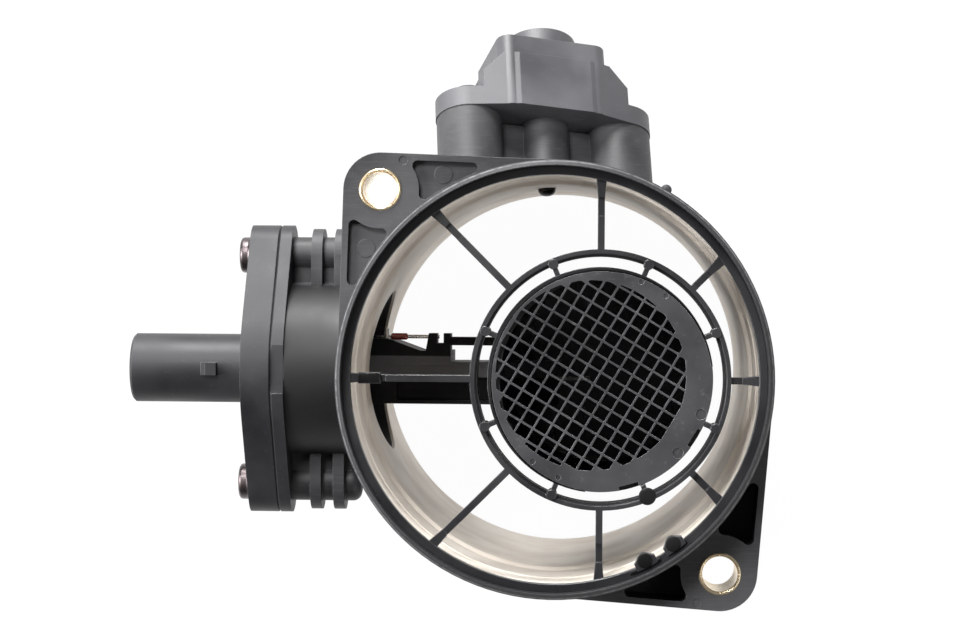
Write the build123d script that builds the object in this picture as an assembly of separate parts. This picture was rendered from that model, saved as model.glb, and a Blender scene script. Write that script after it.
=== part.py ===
"""Mass airflow sensor: a plastic duct with a flow grille, a plug-in hot-film sensor and a pressure sensor.

Millimetres. The duct's axis is +Z. The origin is the centre of the outlet end, and the inlet mouth is at
the +Z end. The hot-film sensor plugs in from the -X side, and the pressure sensor stands on three posts
on the +Y side.
"""
from build123d import *
from math import acos, atan2, ceil, cos, radians, sin, sqrt
import os

os.makedirs("parts", exist_ok=True)

# ---------------------------------------------------------------- duct
DUCT_LENGTH = 98.0
BARREL_RADIUS = 44.0
BARREL_WALL = 2.0
OUTLET_CHAMFER = 0.8
HOSE_STOP_Z = 12.0
HOSE_STOP_WIDTH = 1.6
HOSE_STOP_HEIGHT = 1.0
LINER_SHEET = 0.6
LINER_CLEARANCE = 0.05
LINER_END_GAP = 0.4
LINER_BEAD_DROP = 26.6
LINER_BEAD_DEPTH = 0.8
LINER_BEAD_WIDTH = 4.6
LINER_CREASE_DROP = 10.6
LINER_CREASE_DEPTH = 0.25
LINER_CREASE_WIDTH = 1.6
LINER_ROLL_SHARE = 0.85
MOUTH_LIP_WALL = 1.25
MOUTH_RECESS = 3.0
MOUTH_BEVEL_WIDTH = 1.0
MOUTH_BEVEL_DROP = 1.2

# ---------------------------------------------------------------- mounting flange
FLANGE_SETBACK = 11.5
FLANGE_DEPTH = 12.6
FLANGE_WEB = 2.6
FLANGE_EDGE_WALL = 1.35
FLANGE_RING_HEIGHT = 0.6
BOLT_REACH = 8.3
BOLT_CENTRE_X = -1.05
BOLT_CENTRE_Y = -0.6
BOLT_ANGLE = 131.9
EAR_RADIUS = 7.6
EAR_BOSS_RADIUS = 8.0
POCKET_MARGIN = 1.0
POCKET_CORNER = 1.1
EAR_MARK_ORBIT = 7.6
EAR_MARK_ANGLE = 52.0
EAR_MARK_RADIUS = 0.9
EAR_MARK_DEPTH = 0.15
EJECTOR_MARK_RADIUS = 1.8
EJECTOR_MARK_DEPTH = 0.3
BUSHING_RADIUS = 4.35
BUSHING_WALL = 0.75
BUSHING_PROUD = 0.3
BUSHING_CHAMFER = 0.25

# ---------------------------------------------------------------- inlet carrier, tube and grid
CARRIER_DEPTH = 2.0
CARRIER_RING_WIDTH = 1.6
CARRIER_CLEARANCE = 0.05
CORE_X = 9.25
CORE_RING_REACH = 3.55
CORE_RING_WIDTH = 1.45
CORE_RING_DEPTH = 5.5
CORE_STEP_WIDTH = 0.55
CORE_STEP_DROP = 1.5
SPOKE_COUNT = 8
SPOKE_WIDTH = 1.4
SPOKE_DEPTH = 3.0
SPOKE_BAR_GAP = 7.2
SPOKE_DIP_DROP = 1.6
SPOKE_FOOT_LENGTH = 3.4
SPOKE_FOOT_WIDTH = 2.2
SPOKE_FOOT_DROP = 0.8
SPOKE_PAD_LENGTH = 4.4
SPOKE_PAD_WIDTH = 2.2
SPOKE_PAD_WALL_GAP = 1.7
STAKE_RADIUS = 1.0
STAKE_REACH = 2.35
STAKE_PROUD = 0.4
STAKE_WEB_WIDTH = 1.0
LOCATING_TAB_ANGLES = (-53.6, -62.9)
LOCATING_TAB_RADIUS = 1.5
LOCATING_TAB_REACH = 2.1
LOCATING_TAB_PROUD = 0.6

TUBE_RADIUS = 22.65
TUBE_WALL = 1.4
TUBE_END_Z = 19.0
TUBE_CLEARANCE = 0.05
TAIL_GAP = 4.5
TAIL_THICKNESS = 2.0
TAIL_DOME = 5.0
TAIL_SHOULDER_SHARE = 0.72
TAIL_SHOULDER_RISE = 1.6
TAIL_LEG_COUNT = 4
TAIL_LEG_WIDTH = 4.0
TAIL_LEG_ANGLE = 45.0
GRID_THICKNESS = 2.0
GRID_PLATE_INSET = 0.55
GRID_PLATE_X = 0.35
GRID_PLATE_Y = -0.35
GRID_PLATE_GAP = 0.25
GRID_SKIRT_DEPTH = 3.0
GRID_SKIRT_WALL = 1.0
GRID_MESH_INSET = 3.55
GRID_MESH_X = -1.9
GRID_MESH_Y = 0.9
GRID_CROSSING_X = -1.29
GRID_CROSSING_Y = -0.86
GRID_PITCH_ALONG = 2.91
GRID_PITCH_ACROSS = 2.78
GRID_BAR = 0.38
GRID_ANGLE = -30.6
GRID_SMALLEST_CELL = 1.0
GRID_MARK_INSET = 1.35
GRID_MARK_DEPTH = 0.2
GRID_WIDE_MARK_RADIUS = 1.1
GRID_WIDE_MARK_ANGLES = (-18.3, -42.8)
GRID_NARROW_MARK_RADIUS = 0.55
GRID_NARROW_MARK_ANGLES = (52.5, 67.7, -112.8, -129.1)
GRID_NOTCH_LENGTH = 4.0
GRID_NOTCH_DEPTH = 0.8
GRID_NOTCH_ANGLES = (-31.2, -74.5)

# ---------------------------------------------------------------- hot-film sensor, on the -X side
SENSOR_Z = 33.0
NECK_RADIUS = 19.75
NECK_REACH = 16.2
PLUG_RADIUS = 17.8
PLUG_CLEARANCE = 0.15
PLUG_RECESS = 3.0
SEAL_SETBACK = 6.7
SEAL_CORD = 2.6
SEAL_SQUEEZE = 0.35
BASE_THICKNESS = 2.9
COVER_THICKNESS = 6.6
PLATE_CENTRE_RADIUS = 20.5
PLATE_END_RADIUS = 6.8
PLATE_SPLIT_CHAMFER = 0.3
SENSOR_SCREW_SPACING = 51.6
SENSOR_POST_RADIUS = 4.15
SENSOR_POST_LENGTH = 15.7
SENSOR_POST_ROUND = 2.0
SENSOR_WEB_THICKNESS = 6.0
SENSOR_FIN_RADIUS = 6.05
SENSOR_FIN_THICKNESS = 2.5
SENSOR_FIN_SETBACKS = (5.65, 10.85)
BASE_NOTCH_LOW_Y = -5.0
BASE_NOTCH_HIGH_Y = 5.6
BASE_NOTCH_DEPTH = 0.8
BOARD_LENGTH = 24.0
BOARD_WIDTH = 19.0
BOARD_THICKNESS = 1.6
BOARD_CLEARANCE = 0.2
BOARD_LEDGE = 1.2
SIGNAL_CHIP_LENGTH = 8.0
SIGNAL_CHIP_WIDTH = 6.0
SIGNAL_CHIP_HEIGHT = 1.8
SIGNAL_CHIP_DROP = 4.0
SMALL_CHIP_LENGTH = 2.0
SMALL_CHIP_WIDTH = 3.2
SMALL_CHIP_HEIGHT = 1.2
SMALL_CHIP_DROP = 4.4
SMALL_CHIP_PITCH = 16.0
CAPACITOR_RADIUS = 2.0
CAPACITOR_HEIGHT = 3.0
CAPACITOR_Y = -7.0
CAPACITOR_RISE = 5.0
CAVITY_DEPTH = 11.0
COVER_CAVITY_DEPTH = 2.6
GASKET_WIDTH = 1.4
GASKET_DEPTH = 1.0
GASKET_MARGIN = 1.4
GASKET_CLEARANCE = 0.03

ARM_LOW_Y = -7.4
ARM_HIGH_Y = 2.1
ARM_DEPTH = 18.0
ARM_TIP_X = 0.0
ARM_FLARE_Y = 7.1
ARM_FLARE_FLAT = 3.35
ARM_FLARE_LENGTH = 10.55
ARM_FLARE_TIP_Y = 4.5
HOLDER_FOOT_GAP = 11.75
HOLDER_GAP = 12.45
HOLDER_LENGTH = 4.9
HOLDER_TOP_Y = 8.4
HOLDER_DEPTH = 6.0
HOLDER_NOTCH_GAP = 15.0
HOLDER_NOTCH_WIDTH = 1.5
HOLDER_NOTCH_Y = 6.2
FINGER_LOW_Y = 5.75
FINGER_HIGH_Y = 7.6
ARM_LID_END_GAP = 1.0
ARM_LID_LENGTH = 21.6
ARM_LID_MARGIN = 0.9
ARM_LID_THICKNESS = 1.6
ARM_LID_STEP_Y = -1.4
ARM_LID_STEP_DEPTH = 0.9
LEAD_END_GAP = 2.0
ARM_CHANNEL_DEPTH = 1.2
LEAD_COUNT = 3
LEAD_PITCH = 2.2
LEAD_WIDTH = 1.0
LEAD_THICKNESS = 0.3
FILM_LENGTH = 12.0
FILM_WIDTH = 9.0
FILM_THICKNESS = 0.6
FILM_Y = -1.7
FILM_EMBED = 5.0

BEAD_WALL_GAP = 5.65
BEAD_Y = 7.6
BEAD_LENGTH = 3.8
BEAD_RADIUS = 0.75
BEAD_ROUND = 0.45
BEAD_WIRE_RADIUS = 0.25
BEAD_WIRE_INSET = 1.0
BEAD_PIN_RADIUS = 0.42
BEAD_PIN_OVERHANG = 0.4
BEAD_TAB_WALL_GAP = 3.0
BEAD_TAB_WIDTH = 0.7
BEAD_TAB_DEPTH = 1.6
BEAD_TAB_LOW_Y = 6.3
BEAD_TAB_HIGH_Y = 9.4

CONNECTOR_RADIUS = 7.8
CONNECTOR_WALL = 1.5
CONNECTOR_LENGTH = 27.0
CONNECTOR_FLOOR = 3.0
CONNECTOR_CHAMFER = 0.5
LATCH_SETBACK = 7.1
LATCH_LENGTH = 2.5
LATCH_RAMP_LENGTH = 1.7
LATCH_WIDTH = 2.9
LATCH_HEIGHT = 1.3
KEY_RIB_WIDTH = 1.6
KEY_RIB_HEIGHT = 0.8
PIN_COUNT = 4
PIN_PITCH = 2.5
PIN_WIDTH = 1.2
PIN_THICKNESS = 0.6
PIN_TIP_DEPTH = 8.0

# ---------------------------------------------------------------- pressure sensor, on the +Y side
PORT_X = -3.85
PORT_REACH = 10.9
PORT_Z = 28.5
PORT_LEAN_BACK = 25.5
PORT_LEAN_SIDE = 3.5
PORT_YAW = 21.0
PORT_SCREW_SPACING = 35.6
PORT_POST_RADIUS = 7.4
PORT_NIPPLE_POST_RADIUS = 5.6
PORT_POST_LENGTH = 26.0
PORT_WEB_THICKNESS = 2.6
PORT_WEB_DROP = 0.5
PORT_PLATE_THICKNESS = 4.7
PORT_PLATE_END_RADIUS = 7.6
PORT_PLATE_HALF_WIDTH = 10.3
PORT_PLATE_FLAT = 16.8
PORT_PLATE_CORNER = 0.6
PORT_BODY_LEFT = 16.5
PORT_BODY_RIGHT = 18.1
PORT_BODY_HEIGHT = 13.5
PORT_SHOULDER_LENGTH = 4.6
PORT_SHOULDER_HEIGHT = 4.5
SCREW_POCKET_RADIUS = 6.0
PORT_TOWER_LENGTH = 25.7
PORT_TOWER_WIDTH = 20.0
PORT_TOWER_HEIGHT = 18.0
PORT_TOWER_CORNER = 3.0
PORT_GUSSET_LENGTH = 4.6
PORT_GUSSET_HEIGHT = 5.5
PORT_GUSSET_FOOT = 4.0
PORT_GUSSET_THICKNESS = 1.6
PORT_HEEL_LENGTH = 3.1
PORT_HEEL_HEIGHT = 3.3
PORT_HEEL_THICKNESS = 1.2
PORT_COLLAR_RADIUS = 8.2
PORT_COLLAR_HEIGHT = 22.2
PORT_SOCKET_RADIUS = 6.6
PORT_SOCKET_FLOOR = 11.5
PORT_PIN_COUNT = 3
PORT_PIN_TIP = 17.0
CELL_LENGTH = 12.0
CELL_WIDTH = 10.0
CELL_THICKNESS = 1.0
CELL_CHIP = 4.0
CELL_CHIP_HEIGHT = 1.4
NIPPLE_PLATE_THICKNESS = 1.8
NIPPLE_PLATE_MARGIN = 1.5
NIPPLE_LENGTH = 9.0
NIPPLE_RADIUS = 3.6
NIPPLE_CLEARANCE = 0.2
NIPPLE_BORE_RADIUS = 1.2
NIPPLE_SEAL_DEPTH = 5.0
NIPPLE_SEAL_CORD = 1.5
NIPPLE_SEAL_SQUEEZE = 0.15
PRESSURE_HOLE_RADIUS = 2.4

# ---------------------------------------------------------------- screws and sleeves, alike on both sensors
SCREW_HEAD_RADIUS = 4.35
SCREW_FLANGE_HEIGHT = 0.8
SCREW_DOME_RADIUS = 4.1
SCREW_HEAD_HEIGHT = 2.7
SCREW_SHANK_RADIUS = 2.1
SCREW_SOCKET_RADIUS = 1.7
SCREW_SOCKET_DEPTH = 1.4
SCREW_BITE = 11.0
PILOT_CLEARANCE = 0.05
PILOT_EXTRA_DEPTH = 2.0
SLEEVE_WALL = 0.5
SLEEVE_GAP = 0.15
SLEEVE_FIT = 0.03
FIT = 0.03

# ---------------------------------------------------------------- sizes that follow from the ones above
BORE_RADIUS = BARREL_RADIUS - BARREL_WALL
LINER_OUTER = BORE_RADIUS - LINER_CLEARANCE
LINER_INNER = LINER_OUTER - LINER_SHEET
LIP_RADIUS = BARREL_RADIUS - MOUTH_LIP_WALL
CARRIER_FACE_Z = DUCT_LENGTH - MOUTH_RECESS
CARRIER_SEAT_Z = CARRIER_FACE_Z - CARRIER_DEPTH
CARRIER_OUTER = LIP_RADIUS - CARRIER_CLEARANCE
CARRIER_INNER = CARRIER_OUTER - CARRIER_RING_WIDTH
LINER_END_Z = CARRIER_SEAT_Z - LINER_END_GAP
CORE_RING_RADIUS = TUBE_RADIUS + CORE_RING_REACH
CORE_RING_INNER = CORE_RING_RADIUS - CORE_RING_WIDTH
STAKE_ORBIT = TUBE_RADIUS + STAKE_REACH
CORE_LOW_Z = CARRIER_FACE_Z - CORE_RING_DEPTH
TUBE_MOUTH_Z = CARRIER_FACE_Z - GRID_THICKNESS
TUBE_BORE = TUBE_RADIUS - TUBE_WALL
TUBE_SIDE_X = CORE_X - TUBE_RADIUS
GRID_PLATE_RADIUS = TUBE_RADIUS - GRID_PLATE_INSET
GRID_MESH_RADIUS = TUBE_RADIUS - GRID_MESH_INSET
GRID_MARK_ORBIT = TUBE_RADIUS - GRID_MARK_INSET
FLANGE_FACE_Z = DUCT_LENGTH - FLANGE_SETBACK
FLANGE_BACK_Z = FLANGE_FACE_Z - FLANGE_DEPTH
NECK_FACE_X = -BARREL_RADIUS - NECK_REACH
SENSOR_POST_END_X = NECK_FACE_X + SENSOR_POST_LENGTH
SEAL_X = NECK_FACE_X + SEAL_SETBACK
BASE_FACE_X = NECK_FACE_X - BASE_THICKNESS
COVER_FACE_X = BASE_FACE_X - COVER_THICKNESS
CONNECTOR_MOUTH_X = COVER_FACE_X - CONNECTOR_LENGTH
CONNECTOR_BORE = CONNECTOR_RADIUS - CONNECTOR_WALL
CONNECTOR_FLOOR_X = COVER_FACE_X - CONNECTOR_FLOOR
PORT_BORE_RADIUS = PLUG_RADIUS + PLUG_CLEARANCE
ARM_FACE_Z = SENSOR_Z + ARM_DEPTH / 2
HOLDER_LEFT_X = HOLDER_GAP - LINER_INNER
HOLDER_RIGHT_X = HOLDER_LEFT_X + HOLDER_LENGTH
HOLDER_NOTCH_X = HOLDER_NOTCH_GAP - LINER_INNER
LEAD_END_X = TUBE_SIDE_X - LEAD_END_GAP
BEAD_X = BEAD_WALL_GAP - LINER_INNER
BEAD_Z = ARM_FACE_Z - HOLDER_DEPTH / 2
SLEEVE_INNER = SCREW_SHANK_RADIUS + SLEEVE_GAP
SLEEVE_OUTER = SLEEVE_INNER + SLEEVE_WALL
SLEEVE_HOLE = SLEEVE_OUTER + SLEEVE_FIT
BOARD_FACE_X = BASE_FACE_X + COVER_CAVITY_DEPTH / 2
BOARD_BACK_X = BOARD_FACE_X + BOARD_THICKNESS


def bolt_points():
    """The two bolt centres of the mounting flange."""
    reach = BARREL_RADIUS + BOLT_REACH
    turn = radians(BOLT_ANGLE)
    step = (reach * cos(turn), reach * sin(turn))
    return [(BOLT_CENTRE_X + side * step[0], BOLT_CENTRE_Y + side * step[1]) for side in (1, -1)]


def port_frame():
    """Frame of the pressure sensor: origin in its mounting face, x along its two screws, z up through it."""
    back = radians(PORT_LEAN_BACK)
    side = radians(PORT_LEAN_SIDE)
    yaw = radians(PORT_YAW)
    up = Vector(-sin(side), cos(side) * cos(back), -cos(side) * sin(back))
    level = Vector(cos(yaw), 0, -sin(yaw))
    along = level - up * level.dot(up)
    return Plane(origin=(PORT_X, BARREL_RADIUS + PORT_REACH, PORT_Z), x_dir=along, z_dir=up)


PORT_FRAME = port_frame()


# ---------------------------------------------------------------- shared shapes
def disc(radius, low, high, x=0.0, y=0.0):
    """Solid cylinder along Z between two heights."""
    return Pos(x, y, (low + high) / 2) * Cylinder(radius, high - low)


def rod(radius, start_x, end_x, y=0.0, z=SENSOR_Z):
    """Solid cylinder along X between two stations."""
    return Pos((start_x + end_x) / 2, y, z) * Rot(0, 90, 0) * Cylinder(radius, abs(end_x - start_x))


def block(x_span, y_span, z_span):
    """Box between three pairs of coordinates."""
    spans = (x_span, y_span, z_span)
    centre = [(span[0] + span[1]) / 2 for span in spans]
    sides = [abs(span[1] - span[0]) for span in spans]
    return Pos(*centre) * Box(*sides)


def linked_circles(centre, small, large):
    """A circle at the origin and a smaller one at a centre, joined by their outer tangents."""
    span = sqrt(centre[0] ** 2 + centre[1] ** 2)
    heading = atan2(centre[1], centre[0])
    swing = acos((large - small) / span)
    rays = [(cos(heading + side * swing), sin(heading + side * swing)) for side in (1, -1)]
    corners = [
        (large * rays[0][0], large * rays[0][1]),
        (centre[0] + small * rays[0][0], centre[1] + small * rays[0][1]),
        (centre[0] + small * rays[1][0], centre[1] + small * rays[1][1]),
        (large * rays[1][0], large * rays[1][1]),
    ]
    bridge = make_face(Polyline(*corners, close=True))
    return bridge + Circle(large) + Pos(*centre) * Circle(small)


def prism(outline, height):
    """Flat outline in XY raised to a height along +Z."""
    return extrude(outline, height, dir=(0, 0, 1))


def turned(points, axis=Axis.Z):
    """Solid of revolution from the corners of a half section in the XZ plane."""
    section = make_face(Plane.XZ * Polyline(*points, close=True))
    return revolve(section, axis)


def screw(bite):
    """Flanged pan-head screw at the origin, head up, with its socket, and its shank below the head."""
    head = turned([
        (0, 0),
        (SCREW_HEAD_RADIUS, 0),
        (SCREW_HEAD_RADIUS, SCREW_FLANGE_HEIGHT / 2),
        (SCREW_DOME_RADIUS, SCREW_FLANGE_HEIGHT),
        (SCREW_DOME_RADIUS, SCREW_HEAD_HEIGHT - SCREW_FLANGE_HEIGHT / 2),
        (SCREW_DOME_RADIUS - SCREW_FLANGE_HEIGHT / 2, SCREW_HEAD_HEIGHT),
        (0, SCREW_HEAD_HEIGHT),
    ])
    socket = Pos(0, 0, SCREW_HEAD_HEIGHT - SCREW_SOCKET_DEPTH) * prism(
        RegularPolygon(SCREW_SOCKET_RADIUS, 6), SCREW_SOCKET_DEPTH)
    return head - socket + disc(SCREW_SHANK_RADIUS, -bite, 0)


def sleeve(length):
    """Plain metal sleeve standing on the origin."""
    return disc(SLEEVE_OUTER, 0, length) - disc(SLEEVE_INNER, 0, length)


def gusset(foot_x, length, foot_z, height, y, thickness):
    """Triangular rib that stands up at one station of X and whose foot runs out along X."""
    outline = make_face(Polyline(
        (foot_x, foot_z),
        (foot_x + length, foot_z),
        (foot_x, foot_z + height),
        close=True,
    ))
    return Pos(0, y + thickness / 2, 0) * Rot(90, 0, 0) * prism(outline, thickness)


# ---------------------------------------------------------------- duct housing
def barrel():
    """Barrel with its outlet chamfer, hose stop, mouth recess and lip."""
    stop_end = HOSE_STOP_Z + HOSE_STOP_WIDTH
    stop_radius = BARREL_RADIUS + HOSE_STOP_HEIGHT
    return turned([
        (BORE_RADIUS, 0),
        (BARREL_RADIUS - OUTLET_CHAMFER, 0),
        (BARREL_RADIUS, OUTLET_CHAMFER),
        (BARREL_RADIUS, HOSE_STOP_Z),
        (stop_radius, HOSE_STOP_Z),
        (stop_radius, stop_end),
        (BARREL_RADIUS, stop_end),
        (BARREL_RADIUS, DUCT_LENGTH - MOUTH_BEVEL_DROP),
        (BARREL_RADIUS - MOUTH_BEVEL_WIDTH, DUCT_LENGTH),
        (LIP_RADIUS, DUCT_LENGTH),
        (LIP_RADIUS, CARRIER_SEAT_Z),
        (BORE_RADIUS, CARRIER_SEAT_Z),
    ])


def ear(centre, turn):
    """One ear of the flange: a web at the back, an edge wall round it and a boss for the bushing."""
    ring = BARREL_RADIUS + FLANGE_RING_HEIGHT
    outline = linked_circles(centre, EAR_RADIUS, ring)
    inside = linked_circles(centre, EAR_RADIUS - FLANGE_EDGE_WALL, ring - FLANGE_EDGE_WALL)
    pockets = inside - Circle(BARREL_RADIUS + POCKET_MARGIN) - Pos(*centre) * Circle(EAR_BOSS_RADIUS)
    body = Pos(0, 0, FLANGE_BACK_Z) * prism(outline, FLANGE_DEPTH)
    floor_z = FLANGE_BACK_Z + FLANGE_WEB
    for pocket in pockets.faces():
        rounded = offset(offset(pocket, -POCKET_CORNER), POCKET_CORNER)
        body -= Pos(0, 0, floor_z) * prism(rounded, FLANGE_DEPTH)
        middle = pocket.center()
        body -= disc(EJECTOR_MARK_RADIUS, floor_z - EJECTOR_MARK_DEPTH, floor_z, middle.X, middle.Y)
    mark_x = centre[0] + EAR_MARK_ORBIT * cos(radians(turn + EAR_MARK_ANGLE))
    mark_y = centre[1] + EAR_MARK_ORBIT * sin(radians(turn + EAR_MARK_ANGLE))
    body -= disc(EAR_MARK_RADIUS, FLANGE_FACE_Z - EAR_MARK_DEPTH, FLANGE_FACE_Z, mark_x, mark_y)
    return body - disc(BUSHING_RADIUS, FLANGE_BACK_Z, FLANGE_FACE_Z, *centre)


def sensor_neck():
    """Round port for the hot-film sensor with its two finned screw posts, joined to it by webs."""
    neck = rod(NECK_RADIUS, 0, NECK_FACE_X)
    for side in (1, -1):
        y = side * SENSOR_SCREW_SPACING / 2
        post = rod(SENSOR_POST_RADIUS, NECK_FACE_X, SENSOR_POST_END_X, y)
        neck += fillet(post.edges().group_by(Axis.X)[-1], SENSOR_POST_ROUND)
        web_z = SENSOR_WEB_THICKNESS / 2
        neck += block((NECK_FACE_X, SENSOR_POST_END_X - SENSOR_POST_ROUND), (0, y),
                      (SENSOR_Z - web_z, SENSOR_Z + web_z))
        for setback in SENSOR_FIN_SETBACKS:
            start = NECK_FACE_X + setback - SENSOR_FIN_THICKNESS / 2
            end = start + SENSOR_FIN_THICKNESS
            neck += rod(SENSOR_FIN_RADIUS, start, end, y)
            neck += block((start, end), (0, y), (SENSOR_Z - SENSOR_FIN_RADIUS, SENSOR_Z + SENSOR_FIN_RADIUS))
    return neck


def port_posts():
    """Two screw posts and the nipple post of the pressure sensor, joined by webs."""
    half = PORT_SCREW_SPACING / 2
    posts = disc(PORT_NIPPLE_POST_RADIUS, -PORT_POST_LENGTH, 0)
    for side in (1, -1):
        posts += disc(PORT_POST_RADIUS, -PORT_POST_LENGTH, 0, side * half)
    webs = block((-half, half), (-PORT_WEB_THICKNESS / 2, PORT_WEB_THICKNESS / 2),
                 (-PORT_POST_LENGTH, -PORT_WEB_DROP))
    return PORT_FRAME * (posts + webs)


def port_bores():
    """Pilot holes of the screw posts and the stepped bore that opens into the duct."""
    depth = SCREW_BITE + PILOT_EXTRA_DEPTH
    nipple_bore = NIPPLE_RADIUS + NIPPLE_CLEARANCE
    bores = disc(nipple_bore, -NIPPLE_LENGTH - NIPPLE_CLEARANCE, 0)
    bores += disc(PRESSURE_HOLE_RADIUS, -PORT_POST_LENGTH, 0)
    for side in (1, -1):
        bores += disc(SCREW_SHANK_RADIUS + PILOT_CLEARANCE, -depth, 0, side * PORT_SCREW_SPACING / 2)
    return PORT_FRAME * bores


def make_duct_housing():
    outside = sensor_neck() + port_posts()
    for index, centre in enumerate(bolt_points()):
        outside += ear(centre, 180 * index)
    outside -= disc(BORE_RADIUS, 0, DUCT_LENGTH)
    housing = barrel() + outside
    housing -= rod(PORT_BORE_RADIUS, 0, NECK_FACE_X)
    pilot_end = NECK_FACE_X + SCREW_BITE + PILOT_EXTRA_DEPTH
    for side in (1, -1):
        y = side * SENSOR_SCREW_SPACING / 2
        housing -= rod(SCREW_SHANK_RADIUS + PILOT_CLEARANCE, NECK_FACE_X, pilot_end, y)
    return housing - port_bores()


def make_air_liner():
    """Sheet-metal sleeve of the bore, with a rolled bead, a faint crease and its two openings."""
    dips = [
        (LINER_END_Z - LINER_BEAD_DROP, LINER_BEAD_WIDTH, LINER_BEAD_DEPTH),
        (LINER_END_Z - LINER_CREASE_DROP, LINER_CREASE_WIDTH, LINER_CREASE_DEPTH),
    ]
    inner = [(LINER_INNER, LINER_END_GAP)]
    outer = [(LINER_OUTER, LINER_END_GAP)]
    for z, width, depth in dips:
        for wall, radius in ((inner, LINER_INNER), (outer, LINER_OUTER)):
            wall += [
                (radius, z - width / 2),
                (radius - depth * LINER_ROLL_SHARE, z - width / 4),
                (radius - depth, z),
                (radius - depth * LINER_ROLL_SHARE, z + width / 4),
                (radius, z + width / 2),
            ]
    inner.append((LINER_INNER, LINER_END_Z))
    outer.append((LINER_OUTER, LINER_END_Z))
    liner = turned(inner + outer[::-1])
    liner -= rod(PORT_BORE_RADIUS, 0, NECK_FACE_X)
    return liner - PORT_FRAME * disc(PRESSURE_HOLE_RADIUS, -PORT_POST_LENGTH, 0)


def make_flange_bushings():
    """Two metal bushings that carry the bolt load through the flange."""
    bushings = []
    for x, y in bolt_points():
        body = disc(BUSHING_RADIUS, FLANGE_BACK_Z - BUSHING_PROUD, FLANGE_FACE_Z + BUSHING_PROUD, x, y)
        body -= disc(BUSHING_RADIUS - BUSHING_WALL, FLANGE_BACK_Z - BUSHING_PROUD,
                     FLANGE_FACE_Z + BUSHING_PROUD, x, y)
        rims = body.edges().filter_by(GeomType.CIRCLE)
        bushings.append(chamfer(rims, BUSHING_CHAMFER))
    return Compound(children=bushings)


# ---------------------------------------------------------------- inlet carrier, tube and grid
def spoke(angle):
    """One spoke from the core ring to the outer ring: a bar, then a dip, then a spread foot."""
    turn = radians(angle)
    reach = -CORE_X * cos(turn) + sqrt(CARRIER_INNER ** 2 - (CORE_X * sin(turn)) ** 2)
    start = CORE_RING_RADIUS - CORE_RING_WIDTH / 2
    end = reach + CARRIER_RING_WIDTH / 2
    bar_end = reach - SPOKE_BAR_GAP
    foot_start = reach - SPOKE_FOOT_LENGTH
    low_z = CARRIER_FACE_Z - SPOKE_DEPTH
    sides = (-SPOKE_WIDTH / 2, SPOKE_WIDTH / 2)
    beam = block((start, end), sides, (low_z, CARRIER_FACE_Z - SPOKE_DIP_DROP))
    if bar_end > CORE_RING_RADIUS:
        beam += block((start, bar_end), sides, (low_z, CARRIER_FACE_Z))
    foot = make_face(Polyline(
        (foot_start, SPOKE_WIDTH / 2),
        (end, SPOKE_FOOT_WIDTH / 2),
        (end, -SPOKE_FOOT_WIDTH / 2),
        (foot_start, -SPOKE_WIDTH / 2),
        close=True,
    ))
    beam += Pos(0, 0, low_z) * prism(foot, SPOKE_DEPTH - SPOKE_FOOT_DROP)
    return Pos(CORE_X, 0, 0) * Rot(0, 0, angle) * beam


def stake(angle):
    """Round stake on the core ring with its web to the flow tube."""
    pin = disc(STAKE_RADIUS, CORE_LOW_Z, CARRIER_FACE_Z + STAKE_PROUD, STAKE_ORBIT)
    web = block((TUBE_RADIUS, STAKE_ORBIT), (-STAKE_WEB_WIDTH / 2, STAKE_WEB_WIDTH / 2),
                (CORE_LOW_Z, CARRIER_FACE_Z))
    return Pos(CORE_X, 0, 0) * Rot(0, 0, angle) * (pin + web)


def locating_tab(angle):
    """Rounded tab that stands in from the outer ring."""
    thickness = CARRIER_DEPTH + LOCATING_TAB_PROUD
    centre = CARRIER_INNER - LOCATING_TAB_REACH + LOCATING_TAB_RADIUS
    outline = make_hull(
        (Pos(centre, 0) * Circle(LOCATING_TAB_RADIUS)).edges()
        + (Pos(CARRIER_INNER, 0) * Rectangle(CARRIER_RING_WIDTH, 3 * LOCATING_TAB_RADIUS)).edges()
    )
    return Rot(0, 0, angle) * Pos(0, 0, CARRIER_SEAT_Z) * prism(outline, thickness)


def make_grille_carrier():
    carrier = disc(CARRIER_OUTER, CARRIER_SEAT_Z, CARRIER_FACE_Z)
    carrier -= disc(CARRIER_INNER, CARRIER_SEAT_Z, CARRIER_FACE_Z)
    core = disc(CORE_RING_RADIUS, CORE_LOW_Z, CARRIER_FACE_Z, CORE_X)
    core -= disc(CORE_RING_INNER, CORE_LOW_Z, CARRIER_FACE_Z, CORE_X)
    step_z = CARRIER_FACE_Z - CORE_STEP_DROP
    core -= disc(CORE_RING_INNER + CORE_STEP_WIDTH, step_z, CARRIER_FACE_Z, CORE_X)
    step = 360 / SPOKE_COUNT
    spokes = [spoke(step * index) for index in range(SPOKE_COUNT)]
    stakes = [stake(step * (index + 0.5)) for index in range(SPOKE_COUNT)]
    tabs = [locating_tab(angle) for angle in LOCATING_TAB_ANGLES]
    carrier += [core] + spokes + tabs
    carrier += stakes
    pad_y = SPOKE_PAD_WIDTH / 2
    pad_x = SPOKE_PAD_WALL_GAP - CARRIER_INNER
    carrier += block((pad_x, pad_x + SPOKE_PAD_LENGTH), (-pad_y, pad_y),
                     (CARRIER_FACE_Z - SPOKE_DEPTH, CARRIER_FACE_Z))
    outside = disc(2 * BARREL_RADIUS, 0, DUCT_LENGTH) - disc(CARRIER_OUTER, 0, DUCT_LENGTH)
    below_seat = disc(2 * BARREL_RADIUS, 0, CARRIER_SEAT_Z) - disc(CARRIER_INNER, 0, CARRIER_SEAT_Z)
    return carrier - outside - below_seat - disc(TUBE_RADIUS + TUBE_CLEARANCE, 0, DUCT_LENGTH, CORE_X)


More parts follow.
